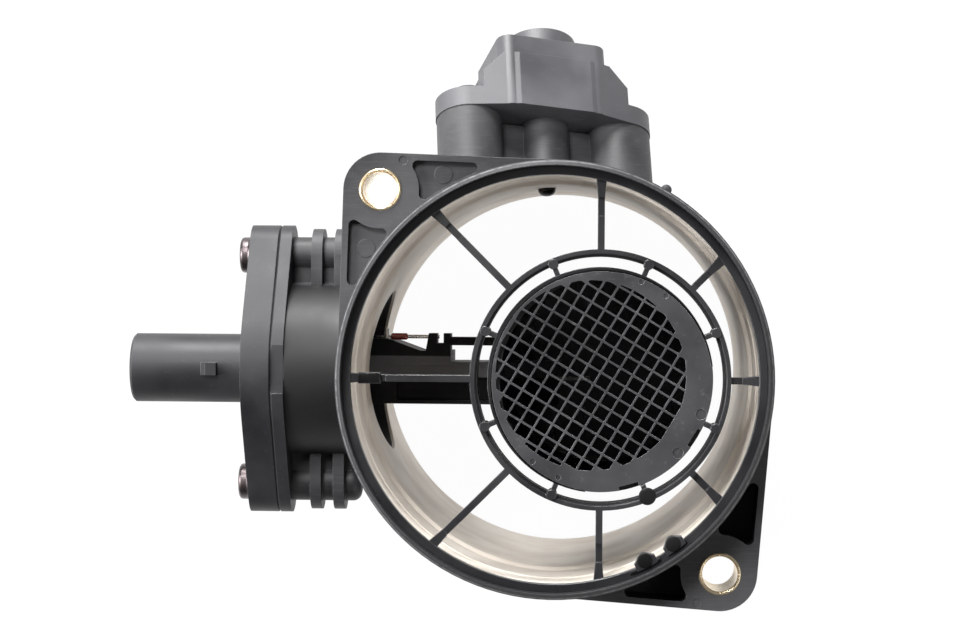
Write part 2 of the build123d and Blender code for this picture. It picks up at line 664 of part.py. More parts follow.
def grid_cells():
    """Open cells of the mesh: a turned lattice of oblongs, clipped by the mesh's circle."""
    mesh_area = Pos(GRID_MESH_X, GRID_MESH_Y) * Circle(GRID_MESH_RADIUS)
    lattice = Pos(GRID_CROSSING_X, GRID_CROSSING_Y) * Rot(0, 0, GRID_ANGLE)
    count = 2 * ceil(TUBE_RADIUS / GRID_PITCH_ACROSS)
    hole = Rectangle(GRID_PITCH_ALONG - GRID_BAR, GRID_PITCH_ACROSS - GRID_BAR)
    cells = []
    for place in GridLocations(GRID_PITCH_ALONG, GRID_PITCH_ACROSS, count, count):
        clipped = mesh_area & (lattice * place * hole)
        if clipped:
            cells += [face for face in clipped.faces() if face.area > GRID_SMALLEST_CELL]
    return cells


def grid_rim_cuts():
    """Shallow round marks and through notches round the edge of the grid's plate."""
    mark_low = CARRIER_FACE_Z - GRID_MARK_DEPTH
    wide = disc(GRID_WIDE_MARK_RADIUS, mark_low, CARRIER_FACE_Z, GRID_MARK_ORBIT)
    narrow = disc(GRID_NARROW_MARK_RADIUS, mark_low, CARRIER_FACE_Z, GRID_MARK_ORBIT)
    edge = GRID_PLATE_RADIUS + GRID_PLATE_X
    notch = block((edge - GRID_NOTCH_DEPTH, edge + GRID_NOTCH_DEPTH),
                  (-GRID_NOTCH_LENGTH / 2, GRID_NOTCH_LENGTH / 2), (TUBE_MOUTH_Z, CARRIER_FACE_Z))
    cuts = [Rot(0, 0, angle) * wide for angle in GRID_WIDE_MARK_ANGLES]
    cuts += [Rot(0, 0, angle) * narrow for angle in GRID_NARROW_MARK_ANGLES]
    cuts += [Rot(0, 0, angle) * notch for angle in GRID_NOTCH_ANGLES]
    return [Pos(CORE_X, 0, 0) * cut for cut in cuts]


def make_flow_grid():
    """Round face plate with an off-centre mesh and a skirt that plugs into the flow tube."""
    plate = Pos(GRID_PLATE_X, GRID_PLATE_Y) * Circle(GRID_PLATE_RADIUS)
    plate -= grid_cells()
    grid = Pos(CORE_X, 0, TUBE_MOUTH_Z) * prism(plate, GRID_THICKNESS)
    grid -= grid_rim_cuts()
    skirt_radius = TUBE_BORE - TUBE_CLEARANCE
    skirt_low = TUBE_MOUTH_Z - GRID_SKIRT_DEPTH
    skirt = disc(skirt_radius, skirt_low, TUBE_MOUTH_Z, CORE_X)
    skirt -= disc(skirt_radius - GRID_SKIRT_WALL, skirt_low, TUBE_MOUTH_Z, CORE_X)
    return grid + skirt


def make_flow_tube():
    """Inner tube for the metered air, with a window for the sensor arm and a lip round the grid."""
    tube = disc(TUBE_RADIUS, TUBE_END_Z, CARRIER_FACE_Z, CORE_X)
    tube -= disc(TUBE_BORE, TUBE_END_Z, TUBE_MOUTH_Z, CORE_X)
    tube -= disc(GRID_PLATE_RADIUS + GRID_PLATE_GAP, TUBE_MOUTH_Z, CARRIER_FACE_Z,
                 CORE_X + GRID_PLATE_X, GRID_PLATE_Y)
    half = ARM_DEPTH / 2 + PLUG_CLEARANCE
    window = block((CORE_X - 2 * TUBE_RADIUS, CORE_X),
                   (ARM_LOW_Y - PLUG_CLEARANCE, ARM_HIGH_Y + PLUG_CLEARANCE),
                   (SENSOR_Z - half, SENSOR_Z + half))
    return tube - window


def dome(radius, low, top):
    """Solid cap about Z, flat on top and curved below."""
    shoulder = (TAIL_SHOULDER_SHARE * radius, low + TAIL_SHOULDER_RISE)
    section = make_face(Plane.XZ * (
        Line((0, low), (0, top))
        + Line((0, top), (radius, top))
        + ThreePointArc((radius, top), shoulder, (0, low))
    ))
    return revolve(section, Axis.Z)


def make_tube_tail():
    """Domed end cap that turns the air out sideways, on short legs that plug into the tube."""
    cap_top = TUBE_END_Z - TAIL_GAP
    cap_low = cap_top - TAIL_DOME
    cap = dome(TUBE_RADIUS, cap_low, cap_top)
    cap -= dome(TUBE_RADIUS - TAIL_THICKNESS, cap_low + TAIL_THICKNESS, cap_top)
    leg_radius = TUBE_BORE - TUBE_CLEARANCE
    leg_low = cap_top - TAIL_THICKNESS
    leg_top = TUBE_END_Z + TAIL_GAP
    ring = disc(leg_radius, leg_low, leg_top) - disc(leg_radius - TUBE_WALL, leg_low, leg_top)
    legs = []
    for index in range(TAIL_LEG_COUNT):
        angle = TAIL_LEG_ANGLE + 360 / TAIL_LEG_COUNT * index
        sector = block((0, TUBE_RADIUS), (-TAIL_LEG_WIDTH / 2, TAIL_LEG_WIDTH / 2), (leg_low, leg_top))
        legs.append(ring & (Rot(0, 0, angle) * sector))
    return Pos(CORE_X, 0, 0) * (cap + legs)


# ---------------------------------------------------------------- hot-film sensor
def sensor_plate_outline():
    """Outline of the sensor's base and cover: a round middle drawn out to two screw ears."""
    half = SENSOR_SCREW_SPACING / 2
    middle = Circle(PLATE_CENTRE_RADIUS)
    ends = [Pos(side * half, 0) * Circle(PLATE_END_RADIUS) for side in (1, -1)]
    edges = middle.edges() + ends[0].edges() + ends[1].edges()
    return make_hull(edges)


def sensor_slab(start_x, end_x):
    """The sensor outline as a slab across X, its edge broken at the split, with its sleeve holes."""
    low_x = min(start_x, end_x)
    face = Plane(origin=(low_x, 0, SENSOR_Z), x_dir=(0, 1, 0), z_dir=(1, 0, 0))
    slab = face * prism(sensor_plate_outline(), abs(end_x - start_x))
    split_rim = 0 if low_x == BASE_FACE_X else -1
    slab = chamfer(slab.edges().group_by(Axis.X)[split_rim], PLATE_SPLIT_CHAMFER)
    for side in (1, -1):
        slab -= rod(SLEEVE_HOLE, start_x, end_x, side * SENSOR_SCREW_SPACING / 2)
    return slab


def board_pocket(length, width, start_x, end_x):
    """Rectangular pocket about the sensor's axis."""
    return block((start_x, end_x), (-length / 2, length / 2), (SENSOR_Z - width / 2, SENSOR_Z + width / 2))


def gasket_ring(depth, slack):
    """Rectangular ring round the board pocket, in the outer face of the base."""
    inner_length = BOARD_LENGTH + 2 * GASKET_MARGIN
    inner_width = BOARD_WIDTH + 2 * GASKET_MARGIN
    outer = board_pocket(inner_length + 2 * GASKET_WIDTH + slack, inner_width + 2 * GASKET_WIDTH + slack,
                         BASE_FACE_X, BASE_FACE_X + depth)
    return outer - board_pocket(inner_length - slack, inner_width - slack, BASE_FACE_X, BASE_FACE_X + depth)


def arm_profile():
    """Side view of the arm in XY: its beam, and the flare that thickens it at the wall."""
    return make_face(Polyline(
        (NECK_FACE_X, ARM_LOW_Y),
        (ARM_TIP_X, ARM_LOW_Y),
        (ARM_TIP_X, ARM_HIGH_Y),
        (HOLDER_RIGHT_X, ARM_HIGH_Y),
        (HOLDER_RIGHT_X, ARM_FLARE_TIP_Y),
        (ARM_FLARE_LENGTH - LINER_INNER, ARM_FLARE_TIP_Y),
        (ARM_FLARE_FLAT - LINER_INNER, ARM_FLARE_Y),
        (NECK_FACE_X, ARM_FLARE_Y),
        close=True,
    ))


def bead_holder():
    """Two prongs on the arm's near edge that hold the bead's pin, and the finger to the flow tube."""
    notch_left = HOLDER_NOTCH_X - HOLDER_NOTCH_WIDTH / 2
    notch_right = HOLDER_NOTCH_X + HOLDER_NOTCH_WIDTH / 2
    prongs = make_face(Polyline(
        (HOLDER_FOOT_GAP - LINER_INNER, ARM_HIGH_Y),
        (HOLDER_RIGHT_X, ARM_HIGH_Y),
        (HOLDER_RIGHT_X, HOLDER_TOP_Y),
        (notch_right, HOLDER_TOP_Y),
        (notch_right, HOLDER_NOTCH_Y),
        (notch_left, HOLDER_NOTCH_Y),
        (notch_left, HOLDER_TOP_Y),
        (HOLDER_LEFT_X, HOLDER_TOP_Y),
        (HOLDER_FOOT_GAP - LINER_INNER, ARM_FLARE_TIP_Y),
        close=True,
    ))
    low_z = ARM_FACE_Z - HOLDER_DEPTH
    finger_end = CORE_X - sqrt((TUBE_RADIUS + PLUG_CLEARANCE) ** 2 - FINGER_LOW_Y ** 2)
    finger = block((HOLDER_RIGHT_X, finger_end), (FINGER_LOW_Y, FINGER_HIGH_Y), (low_z, ARM_FACE_Z))
    return Pos(0, 0, low_z) * prism(prongs, HOLDER_DEPTH) + finger


def arm_lid_block(slack):
    """Shallow oblong in the near face of the arm, which its lid fills."""
    end_x = TUBE_SIDE_X - ARM_LID_END_GAP
    return block((end_x - ARM_LID_LENGTH - slack, end_x + slack),
                 (ARM_LOW_Y + ARM_LID_MARGIN - slack, ARM_HIGH_Y - ARM_LID_MARGIN + slack),
                 (ARM_FACE_Z - ARM_LID_THICKNESS, ARM_FACE_Z))


def lead_channel():
    """Channel under the lid, in which the conductors run from the board to the hot film."""
    half = (LEAD_COUNT - 1) * LEAD_PITCH / 2 + LEAD_WIDTH
    middle = (ARM_LOW_Y + ARM_HIGH_Y) / 2
    top = ARM_FACE_Z - ARM_LID_THICKNESS
    return block((BOARD_BACK_X, LEAD_END_X), (middle - half, middle + half), (top - ARM_CHANNEL_DEPTH, top))


def film_plate(slack):
    """The hot-film plate at the tip of the arm."""
    start = ARM_TIP_X - FILM_EMBED
    half = FILM_THICKNESS / 2 + slack
    return block((start, start + FILM_LENGTH), (FILM_Y - half, FILM_Y + half),
                 (SENSOR_Z - FILM_WIDTH / 2 - slack, SENSOR_Z + FILM_WIDTH / 2 + slack))


def make_sensor_body():
    """Base plate, sealed plug and arm in one moulding, hollow behind the plate for the circuit board."""
    base = sensor_slab(NECK_FACE_X, BASE_FACE_X)
    notch_z = SENSOR_Z + PLATE_CENTRE_RADIUS
    base -= block((NECK_FACE_X, BASE_FACE_X), (BASE_NOTCH_LOW_Y, BASE_NOTCH_HIGH_Y),
                  (notch_z - BASE_NOTCH_DEPTH, notch_z + BASE_NOTCH_DEPTH))
    plug = rod(PLUG_RADIUS, NECK_FACE_X, 0) - disc(LINER_INNER + PLUG_RECESS, 0, DUCT_LENGTH)
    arm = Pos(0, 0, SENSOR_Z - ARM_DEPTH / 2) * prism(arm_profile(), ARM_DEPTH)
    body = base + plug + arm + bead_holder()
    groove_floor = PLUG_RADIUS + PLUG_CLEARANCE - SEAL_CORD + SEAL_SQUEEZE
    groove = rod(PLUG_RADIUS, SEAL_X - SEAL_CORD / 2, SEAL_X + SEAL_CORD / 2)
    groove -= rod(groove_floor, SEAL_X - SEAL_CORD / 2, SEAL_X + SEAL_CORD / 2)
    body -= groove
    length = BOARD_LENGTH + 2 * BOARD_CLEARANCE
    width = BOARD_WIDTH + 2 * BOARD_CLEARANCE
    body -= board_pocket(length, width, BASE_FACE_X, BOARD_BACK_X)
    body -= board_pocket(length - 2 * BOARD_LEDGE, width - 2 * BOARD_LEDGE, BASE_FACE_X,
                         BASE_FACE_X + CAVITY_DEPTH)
    body -= gasket_ring(GASKET_DEPTH, 2 * GASKET_CLEARANCE)
    body -= arm_lid_block(FIT)
    body -= lead_channel()
    body -= bead_wiring(FIT)
    return body - film_plate(FIT)


def make_sensor_seal():
    """O-ring of the plug."""
    centre_radius = PORT_BORE_RADIUS - SEAL_CORD / 2 + SEAL_SQUEEZE / 2
    cord = (SEAL_CORD - SEAL_SQUEEZE) / 2
    return Pos(SEAL_X, 0, SENSOR_Z) * Rot(0, 90, 0) * Torus(centre_radius, cord)


def make_cover_gasket():
    return gasket_ring(GASKET_DEPTH - GASKET_CLEARANCE, 0)


def pin_offsets(count):
    """Centres of a row of pins, about its middle."""
    return [PIN_PITCH * (index - (count - 1) / 2) for index in range(count)]


def sensor_pin(offset, slack):
    """One flat pin from the board through the cover into the socket."""
    tip_x = CONNECTOR_MOUTH_X + PIN_TIP_DEPTH
    width = PIN_WIDTH / 2 + slack
    thickness = PIN_THICKNESS / 2 + slack
    return block((tip_x, BOARD_FACE_X), (offset - width, offset + width),
                 (SENSOR_Z - thickness, SENSOR_Z + thickness))


def make_sensor_cover():
    """Cover with the round connector, its key ribs and its latch."""
    cover = sensor_slab(BASE_FACE_X, COVER_FACE_X)
    shell = rod(CONNECTOR_RADIUS, COVER_FACE_X, CONNECTOR_MOUTH_X)
    shell = chamfer(shell.edges().group_by(Axis.X)[0], CONNECTOR_CHAMFER)
    cover += shell
    cover -= rod(CONNECTOR_BORE, CONNECTOR_FLOOR_X, CONNECTOR_MOUTH_X)
    top = SENSOR_Z + CONNECTOR_RADIUS
    latch_x = COVER_FACE_X - LATCH_SETBACK
    ramp_x = latch_x - LATCH_LENGTH
    latch = make_face(Polyline(
        (latch_x, -CONNECTOR_WALL / 2),
        (latch_x, LATCH_HEIGHT),
        (ramp_x, LATCH_HEIGHT),
        (ramp_x - LATCH_RAMP_LENGTH, -CONNECTOR_WALL / 2),
        close=True,
    ))
    cover += Pos(0, LATCH_WIDTH / 2, top) * Rot(90, 0, 0) * prism(latch, LATCH_WIDTH)
    rib_half = KEY_RIB_WIDTH / 2
    for side in (1, -1):
        inner = side * (CONNECTOR_BORE - KEY_RIB_HEIGHT)
        outer = side * (CONNECTOR_BORE + CONNECTOR_WALL / 2)
        cover += block((CONNECTOR_FLOOR_X, CONNECTOR_MOUTH_X + CONNECTOR_WALL), (-rib_half, rib_half),
                       (SENSOR_Z + inner, SENSOR_Z + outer))
    length = BOARD_LENGTH - 2 * BOARD_LEDGE
    width = BOARD_WIDTH - 2 * BOARD_LEDGE
    cover -= board_pocket(length, width, BASE_FACE_X - COVER_CAVITY_DEPTH, BASE_FACE_X)
    for offset in pin_offsets(PIN_COUNT):
        cover -= sensor_pin(offset, FIT)
    return cover


def make_circuit_board():
    """Signal board, with a slot for each pin and each conductor."""
    board = board_pocket(BOARD_LENGTH, BOARD_WIDTH, BOARD_FACE_X, BOARD_BACK_X)
    for offset in pin_offsets(PIN_COUNT):
        board -= block((BOARD_FACE_X, BOARD_BACK_X), (offset - PIN_WIDTH / 4, offset + PIN_WIDTH / 4),
                       (SENSOR_Z - PIN_THICKNESS / 4, SENSOR_Z + PIN_THICKNESS / 4))
    return board


def board_part(length, width, height, y, drop):
    """One oblong part on the duct side of the board."""
    z = SENSOR_Z - drop
    return block((BOARD_BACK_X, BOARD_BACK_X + height), (y - length / 2, y + length / 2),
                 (z - width / 2, z + width / 2))


def make_board_chips():
    """Signal chip, two small chips and a round capacitor on the duct side of the board."""
    chips = [board_part(SIGNAL_CHIP_LENGTH, SIGNAL_CHIP_WIDTH, SIGNAL_CHIP_HEIGHT, 0, SIGNAL_CHIP_DROP)]
    for side in (1, -1):
        chips.append(board_part(SMALL_CHIP_LENGTH, SMALL_CHIP_WIDTH, SMALL_CHIP_HEIGHT,
                                side * SMALL_CHIP_PITCH / 2, SMALL_CHIP_DROP))
    chips.append(rod(CAPACITOR_RADIUS, BOARD_BACK_X, BOARD_BACK_X + CAPACITOR_HEIGHT, CAPACITOR_Y,
                     SENSOR_Z + CAPACITOR_RISE))
    return Compound(children=chips)


def make_lead_frame():
    """Stamped conductors that lie on the floor of the arm's channel."""
    floor_z = ARM_FACE_Z - ARM_LID_THICKNESS - ARM_CHANNEL_DEPTH
    middle = (ARM_LOW_Y + ARM_HIGH_Y) / 2
    leads = []
    for index in range(LEAD_COUNT):
        y = middle + LEAD_PITCH * (index - (LEAD_COUNT - 1) / 2)
        leads.append(block((BOARD_BACK_X, LEAD_END_X), (y - LEAD_WIDTH / 2, y + LEAD_WIDTH / 2),
                           (floor_z, floor_z + LEAD_THICKNESS)))
    return Compound(children=leads)


def make_arm_lid():
    """Lid of the arm's channel: a raised strip along one edge, and a lower land beside it."""
    lid = arm_lid_block(0)
    return lid - block((-BARREL_RADIUS, ARM_TIP_X), (ARM_LOW_Y, ARM_LID_STEP_Y),
                       (ARM_FACE_Z - ARM_LID_STEP_DEPTH, ARM_FACE_Z))


def make_hot_film():
    return film_plate(0)


def make_temperature_bead():
    """Glass bead of the air temperature sensor, with rounded ends."""
    half = BEAD_LENGTH / 2
    bead = rod(BEAD_RADIUS, BEAD_X - half, BEAD_X + half, BEAD_Y, BEAD_Z)
    bead = fillet(bead.edges().filter_by(GeomType.CIRCLE), BEAD_ROUND)
    return bead - rod(BEAD_WIRE_RADIUS, BEAD_X - half, BEAD_X + half, BEAD_Y, BEAD_Z)


def bead_wiring(slack):
    """Wire from the plug through a soldered tab and the bead, and the pin that the prongs hold."""
    bead_end = BEAD_X + BEAD_LENGTH / 2
    pin_end = HOLDER_NOTCH_X - HOLDER_NOTCH_WIDTH / 2 + BEAD_PIN_OVERHANG
    wire_start = -LINER_INNER - PLUG_RECESS - BEAD_WIRE_INSET
    wiring = rod(BEAD_WIRE_RADIUS + slack, wire_start, bead_end, BEAD_Y, BEAD_Z)
    wiring += rod(BEAD_PIN_RADIUS + slack, bead_end, pin_end + slack, BEAD_Y, BEAD_Z)
    tab_x = BEAD_TAB_WALL_GAP - LINER_INNER
    half_width = BEAD_TAB_WIDTH / 2 + slack
    half_depth = BEAD_TAB_DEPTH / 2 + slack
    wiring += block((tab_x - half_width, tab_x + half_width), (BEAD_TAB_LOW_Y - slack, BEAD_TAB_HIGH_Y),
                    (BEAD_Z - half_depth, BEAD_Z + half_depth))
    return wiring


def make_bead_leads():
    return bead_wiring(0)


def make_connector_pins():
    return Compound(children=[sensor_pin(offset, 0) for offset in pin_offsets(PIN_COUNT)])


def sensor_side(shape, side):
    """Place a screw or sleeve, modelled along Z, at a screw position of the sensor, facing -X."""
    return Pos(COVER_FACE_X, side * SENSOR_SCREW_SPACING / 2, SENSOR_Z) * Rot(0, -90, 0) * shape


def make_sensor_screws():
    bite = BASE_THICKNESS + COVER_THICKNESS + SCREW_BITE
    return Compound(children=[sensor_side(screw(bite), side) for side in (1, -1)])


def make_sensor_sleeves():
    length = BASE_THICKNESS + COVER_THICKNESS
    return Compound(children=[sensor_side(Pos(0, 0, -length) * sleeve(length), side) for side in (1, -1)])


# ---------------------------------------------------------------- pressure sensor
def port_plate_outline():
    """Straight-sided plate that narrows to two round screw ends."""
    half = PORT_SCREW_SPACING / 2
    corner_x = PORT_PLATE_FLAT / 2
    corner_y = PORT_PLATE_HALF_WIDTH - PORT_PLATE_CORNER
    edges = (Pos(half, 0) * Circle(PORT_PLATE_END_RADIUS)).edges()
    edges += (Pos(-half, 0) * Circle(PORT_PLATE_END_RADIUS)).edges()
    for x in (corner_x, -corner_x):
        for y in (corner_y, -corner_y):
            edges += (Pos(x, y) * Circle(PORT_PLATE_CORNER)).edges()
    return make_hull(edges)


def port_body_block():
    """Body with sloping shoulders, cut from the plate's outline and hollowed for the screw heads."""
    shoulder_z = PORT_BODY_HEIGHT - PORT_SHOULDER_HEIGHT
    front = make_face(Polyline(
        (-PORT_BODY_LEFT, 0),
        (PORT_BODY_RIGHT, 0),
        (PORT_BODY_RIGHT, shoulder_z),
        (PORT_BODY_RIGHT - PORT_SHOULDER_LENGTH, PORT_BODY_HEIGHT),
        (PORT_SHOULDER_LENGTH - PORT_BODY_LEFT, PORT_BODY_HEIGHT),
        (-PORT_BODY_LEFT, shoulder_z),
        close=True,
    ))
    reach = 2 * PORT_PLATE_HALF_WIDTH
    silhouette = Pos(0, reach, 0) * Rot(90, 0, 0) * prism(front, 2 * reach)
    body = prism(port_plate_outline(), 2 * PORT_BODY_HEIGHT) & silhouette
    for side in (1, -1):
        x = side * PORT_SCREW_SPACING / 2
        body -= disc(SCREW_POCKET_RADIUS, PORT_PLATE_THICKNESS, PORT_BODY_HEIGHT, x)
        body -= block((x, x + side * PORT_PLATE_END_RADIUS), (-SCREW_POCKET_RADIUS, SCREW_POCKET_RADIUS),
                      (PORT_PLATE_THICKNESS, PORT_BODY_HEIGHT))
    return body


def port_tower():
    """Tower of the pressure sensor's connector, with its back gussets and its round collar."""
    tower = prism(RectangleRounded(PORT_TOWER_LENGTH, PORT_TOWER_WIDTH, PORT_TOWER_CORNER), PORT_TOWER_HEIGHT)
    tower += disc(PORT_COLLAR_RADIUS, PORT_TOWER_HEIGHT - PORT_GUSSET_THICKNESS, PORT_COLLAR_HEIGHT)
    start = (PORT_TOWER_LENGTH - PORT_TOWER_CORNER) / 2
    back_y = (PORT_TOWER_WIDTH - PORT_TOWER_CORNER) / 2
    for side in (1, -1):
        tower += gusset(side * start, side * PORT_GUSSET_LENGTH, PORT_BODY_HEIGHT - PORT_GUSSET_FOOT,
                        PORT_GUSSET_HEIGHT + PORT_GUSSET_FOOT, back_y, PORT_GUSSET_THICKNESS)
    return tower


def make_pressure_body():
    """Plate, body, tower and collar in one moulding, open underneath for the cell."""
    body = prism(port_plate_outline(), PORT_PLATE_THICKNESS)
    body += port_body_block()
    body += port_tower()
    body += gusset(-PORT_BODY_LEFT, -PORT_HEEL_LENGTH, PORT_PLATE_THICKNESS, PORT_HEEL_HEIGHT,
                   SCREW_POCKET_RADIUS + PORT_HEEL_THICKNESS / 2, PORT_HEEL_THICKNESS)
    body -= disc(PORT_SOCKET_RADIUS, PORT_SOCKET_FLOOR, PORT_COLLAR_HEIGHT)
    lid_length = CELL_LENGTH + 2 * NIPPLE_PLATE_MARGIN + 2 * FIT
    lid_width = CELL_WIDTH + 2 * NIPPLE_PLATE_MARGIN + 2 * FIT
    body -= Pos(0, 0, NIPPLE_PLATE_THICKNESS / 2) * Box(lid_length, lid_width, NIPPLE_PLATE_THICKNESS)
    body -= Pos(0, 0, cell_top() / 2) * Box(CELL_LENGTH + 2 * FIT, CELL_WIDTH + 2 * FIT, cell_top())
    for side in (1, -1):
        body -= disc(SLEEVE_HOLE, 0, PORT_PLATE_THICKNESS, side * PORT_SCREW_SPACING / 2)
    for offset in pin_offsets(PORT_PIN_COUNT):
        body -= port_pin(offset, FIT)
    return PORT_FRAME * body


def cell_top():
    """Height of the cell's board back above the mounting face."""
    return NIPPLE_PLATE_THICKNESS + CELL_CHIP_HEIGHT + CELL_THICKNESS + 2 * FIT


def port_pin(offset, slack):
    """One flat pin from the cell's board up into the socket, in the sensor's own frame."""
    width = PIN_WIDTH / 2 + slack
    thickness = PIN_THICKNESS / 2 + slack
    return block((offset - width, offset + width), (-thickness, thickness), (cell_top(), PORT_PIN_TIP))


def make_pressure_nipple():
    """Nipple and its plate, which closes the cell's pocket from below."""
    plate_length = CELL_LENGTH + 2 * NIPPLE_PLATE_MARGIN
    plate_width = CELL_WIDTH + 2 * NIPPLE_PLATE_MARGIN
    nipple = Pos(0, 0, NIPPLE_PLATE_THICKNESS / 2) * Box(plate_length, plate_width, NIPPLE_PLATE_THICKNESS)
    nipple += disc(NIPPLE_RADIUS, -NIPPLE_LENGTH, 0)
    half = NIPPLE_SEAL_CORD / 2
    floor = NIPPLE_RADIUS + NIPPLE_CLEARANCE - NIPPLE_SEAL_CORD + NIPPLE_SEAL_SQUEEZE
    groove = disc(NIPPLE_RADIUS, -NIPPLE_SEAL_DEPTH - half, half - NIPPLE_SEAL_DEPTH)
    groove -= disc(floor, -NIPPLE_SEAL_DEPTH - half, half - NIPPLE_SEAL_DEPTH)
    nipple -= groove
    return PORT_FRAME * (nipple - disc(NIPPLE_BORE_RADIUS, -NIPPLE_LENGTH, NIPPLE_PLATE_THICKNESS))


def make_pressure_seal():
    """O-ring of the nipple."""
    cord = (NIPPLE_SEAL_CORD - NIPPLE_SEAL_SQUEEZE) / 2
    centre_radius = NIPPLE_RADIUS + NIPPLE_CLEARANCE - cord
    return PORT_FRAME * (Pos(0, 0, -NIPPLE_SEAL_DEPTH) * Torus(centre_radius, cord))


def make_pressure_cell():
    """Sensing chip on its small board, over the nipple's bore."""
    low = NIPPLE_PLATE_THICKNESS + FIT
    chip = Pos(0, 0, low + CELL_CHIP_HEIGHT / 2) * Box(CELL_CHIP, CELL_CHIP, CELL_CHIP_HEIGHT)
    top = low + CELL_CHIP_HEIGHT
    chip += Pos(0, 0, top + CELL_THICKNESS / 2) * Box(CELL_LENGTH, CELL_WIDTH, CELL_THICKNESS)
    return PORT_FRAME * chip


def make_pressure_pins():
    return PORT_FRAME * Compound(children=[port_pin(offset, 0) for offset in pin_offsets(PORT_PIN_COUNT)])


def at_port_screws(shape):
    """Two copies of a shape at the pressure sensor's screws."""
    half = PORT_SCREW_SPACING / 2
    return Compound(children=[PORT_FRAME * (Pos(side * half, 0, 0) * shape) for side in (1, -1)])


def make_pressure_screws():
    bite = PORT_PLATE_THICKNESS + SCREW_BITE
    return at_port_screws(Pos(0, 0, PORT_PLATE_THICKNESS) * screw(bite))


def make_pressure_sleeves():
    return at_port_screws(sleeve(PORT_PLATE_THICKNESS))


NODES = {
    "duct_housing": make_duct_housing,
    "air_liner": make_air_liner,
    "flange_bushings": make_flange_bushings,
    "grille_carrier": make_grille_carrier,
    "flow_grid": make_flow_grid,
    "flow_tube": make_flow_tube,
    "tube_tail": make_tube_tail,
    "sensor_body": make_sensor_body,
    "sensor_seal": make_sensor_seal,
    "sensor_cover": make_sensor_cover,
    "cover_gasket": make_cover_gasket,
    "circuit_board": make_circuit_board,
    "board_chips": make_board_chips,
    "lead_frame": make_lead_frame,
    "arm_lid": make_arm_lid,
    "hot_film_element": make_hot_film,
    "temperature_bead": make_temperature_bead,
    "bead_leads": make_bead_leads,
    "connector_pins": make_connector_pins,
    "sensor_screws": make_sensor_screws,
    "sensor_sleeves": make_sensor_sleeves,
    "pressure_body": make_pressure_body,
    "pressure_nipple": make_pressure_nipple,
    "pressure_seal": make_pressure_seal,
    "pressure_cell": make_pressure_cell,
    "pressure_pins": make_pressure_pins,
    "pressure_screws": make_pressure_screws,
    "pressure_sleeves": make_pressure_sleeves,
}

for node, make in NODES.items():
    export_step(make(), f"parts/{node}.step")
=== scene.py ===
"""Mass airflow sensor: finishes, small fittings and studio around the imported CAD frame.

Every length is in metres, in the part's own frame: the duct's axis is +Z, the inlet mouth is at
the top, the hot-film sensor stands on the -X side and the pressure sensor on the +Y side.
"""
import logging
import math
from dataclasses import dataclass, field
from enum import Enum

import bmesh
import bpy
from mathutils import Matrix, Vector


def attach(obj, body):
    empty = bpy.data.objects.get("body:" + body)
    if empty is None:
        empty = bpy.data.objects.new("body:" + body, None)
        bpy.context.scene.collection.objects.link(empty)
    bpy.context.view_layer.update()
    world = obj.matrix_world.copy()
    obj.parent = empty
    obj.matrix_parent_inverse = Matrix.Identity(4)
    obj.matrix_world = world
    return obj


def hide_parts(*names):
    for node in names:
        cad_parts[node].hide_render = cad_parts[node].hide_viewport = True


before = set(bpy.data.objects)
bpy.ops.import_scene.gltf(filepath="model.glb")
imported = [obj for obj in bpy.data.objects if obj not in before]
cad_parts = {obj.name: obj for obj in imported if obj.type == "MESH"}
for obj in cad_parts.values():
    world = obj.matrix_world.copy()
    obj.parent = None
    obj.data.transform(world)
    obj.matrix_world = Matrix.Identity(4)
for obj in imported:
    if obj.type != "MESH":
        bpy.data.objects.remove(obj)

BODY = "root"
MM = 0.001
# Colour sockets of a Mix node.
COLOUR_ENDS = slice(6, 8)
COLOUR_RESULT = 2
# Cosine between a face and its rounded normal, on a flat and on a full edge.
EDGE_TURN = (0.995, 0.80)
MERGE_DISTANCE = 1e-6
SEAM_DISTANCE = 1e-7
# Strip along the sensor's arm, across Y, made paler as painted light on its lit upper side.
LIT_STRIP = (-1.4 * MM, 3.3 * MM)

Colour = tuple[float, float, float]
Triple = tuple[float, float, float]
Span = tuple[float, float]
Corner = tuple[float, float]

LOG = logging.getLogger("airflow_sensor")


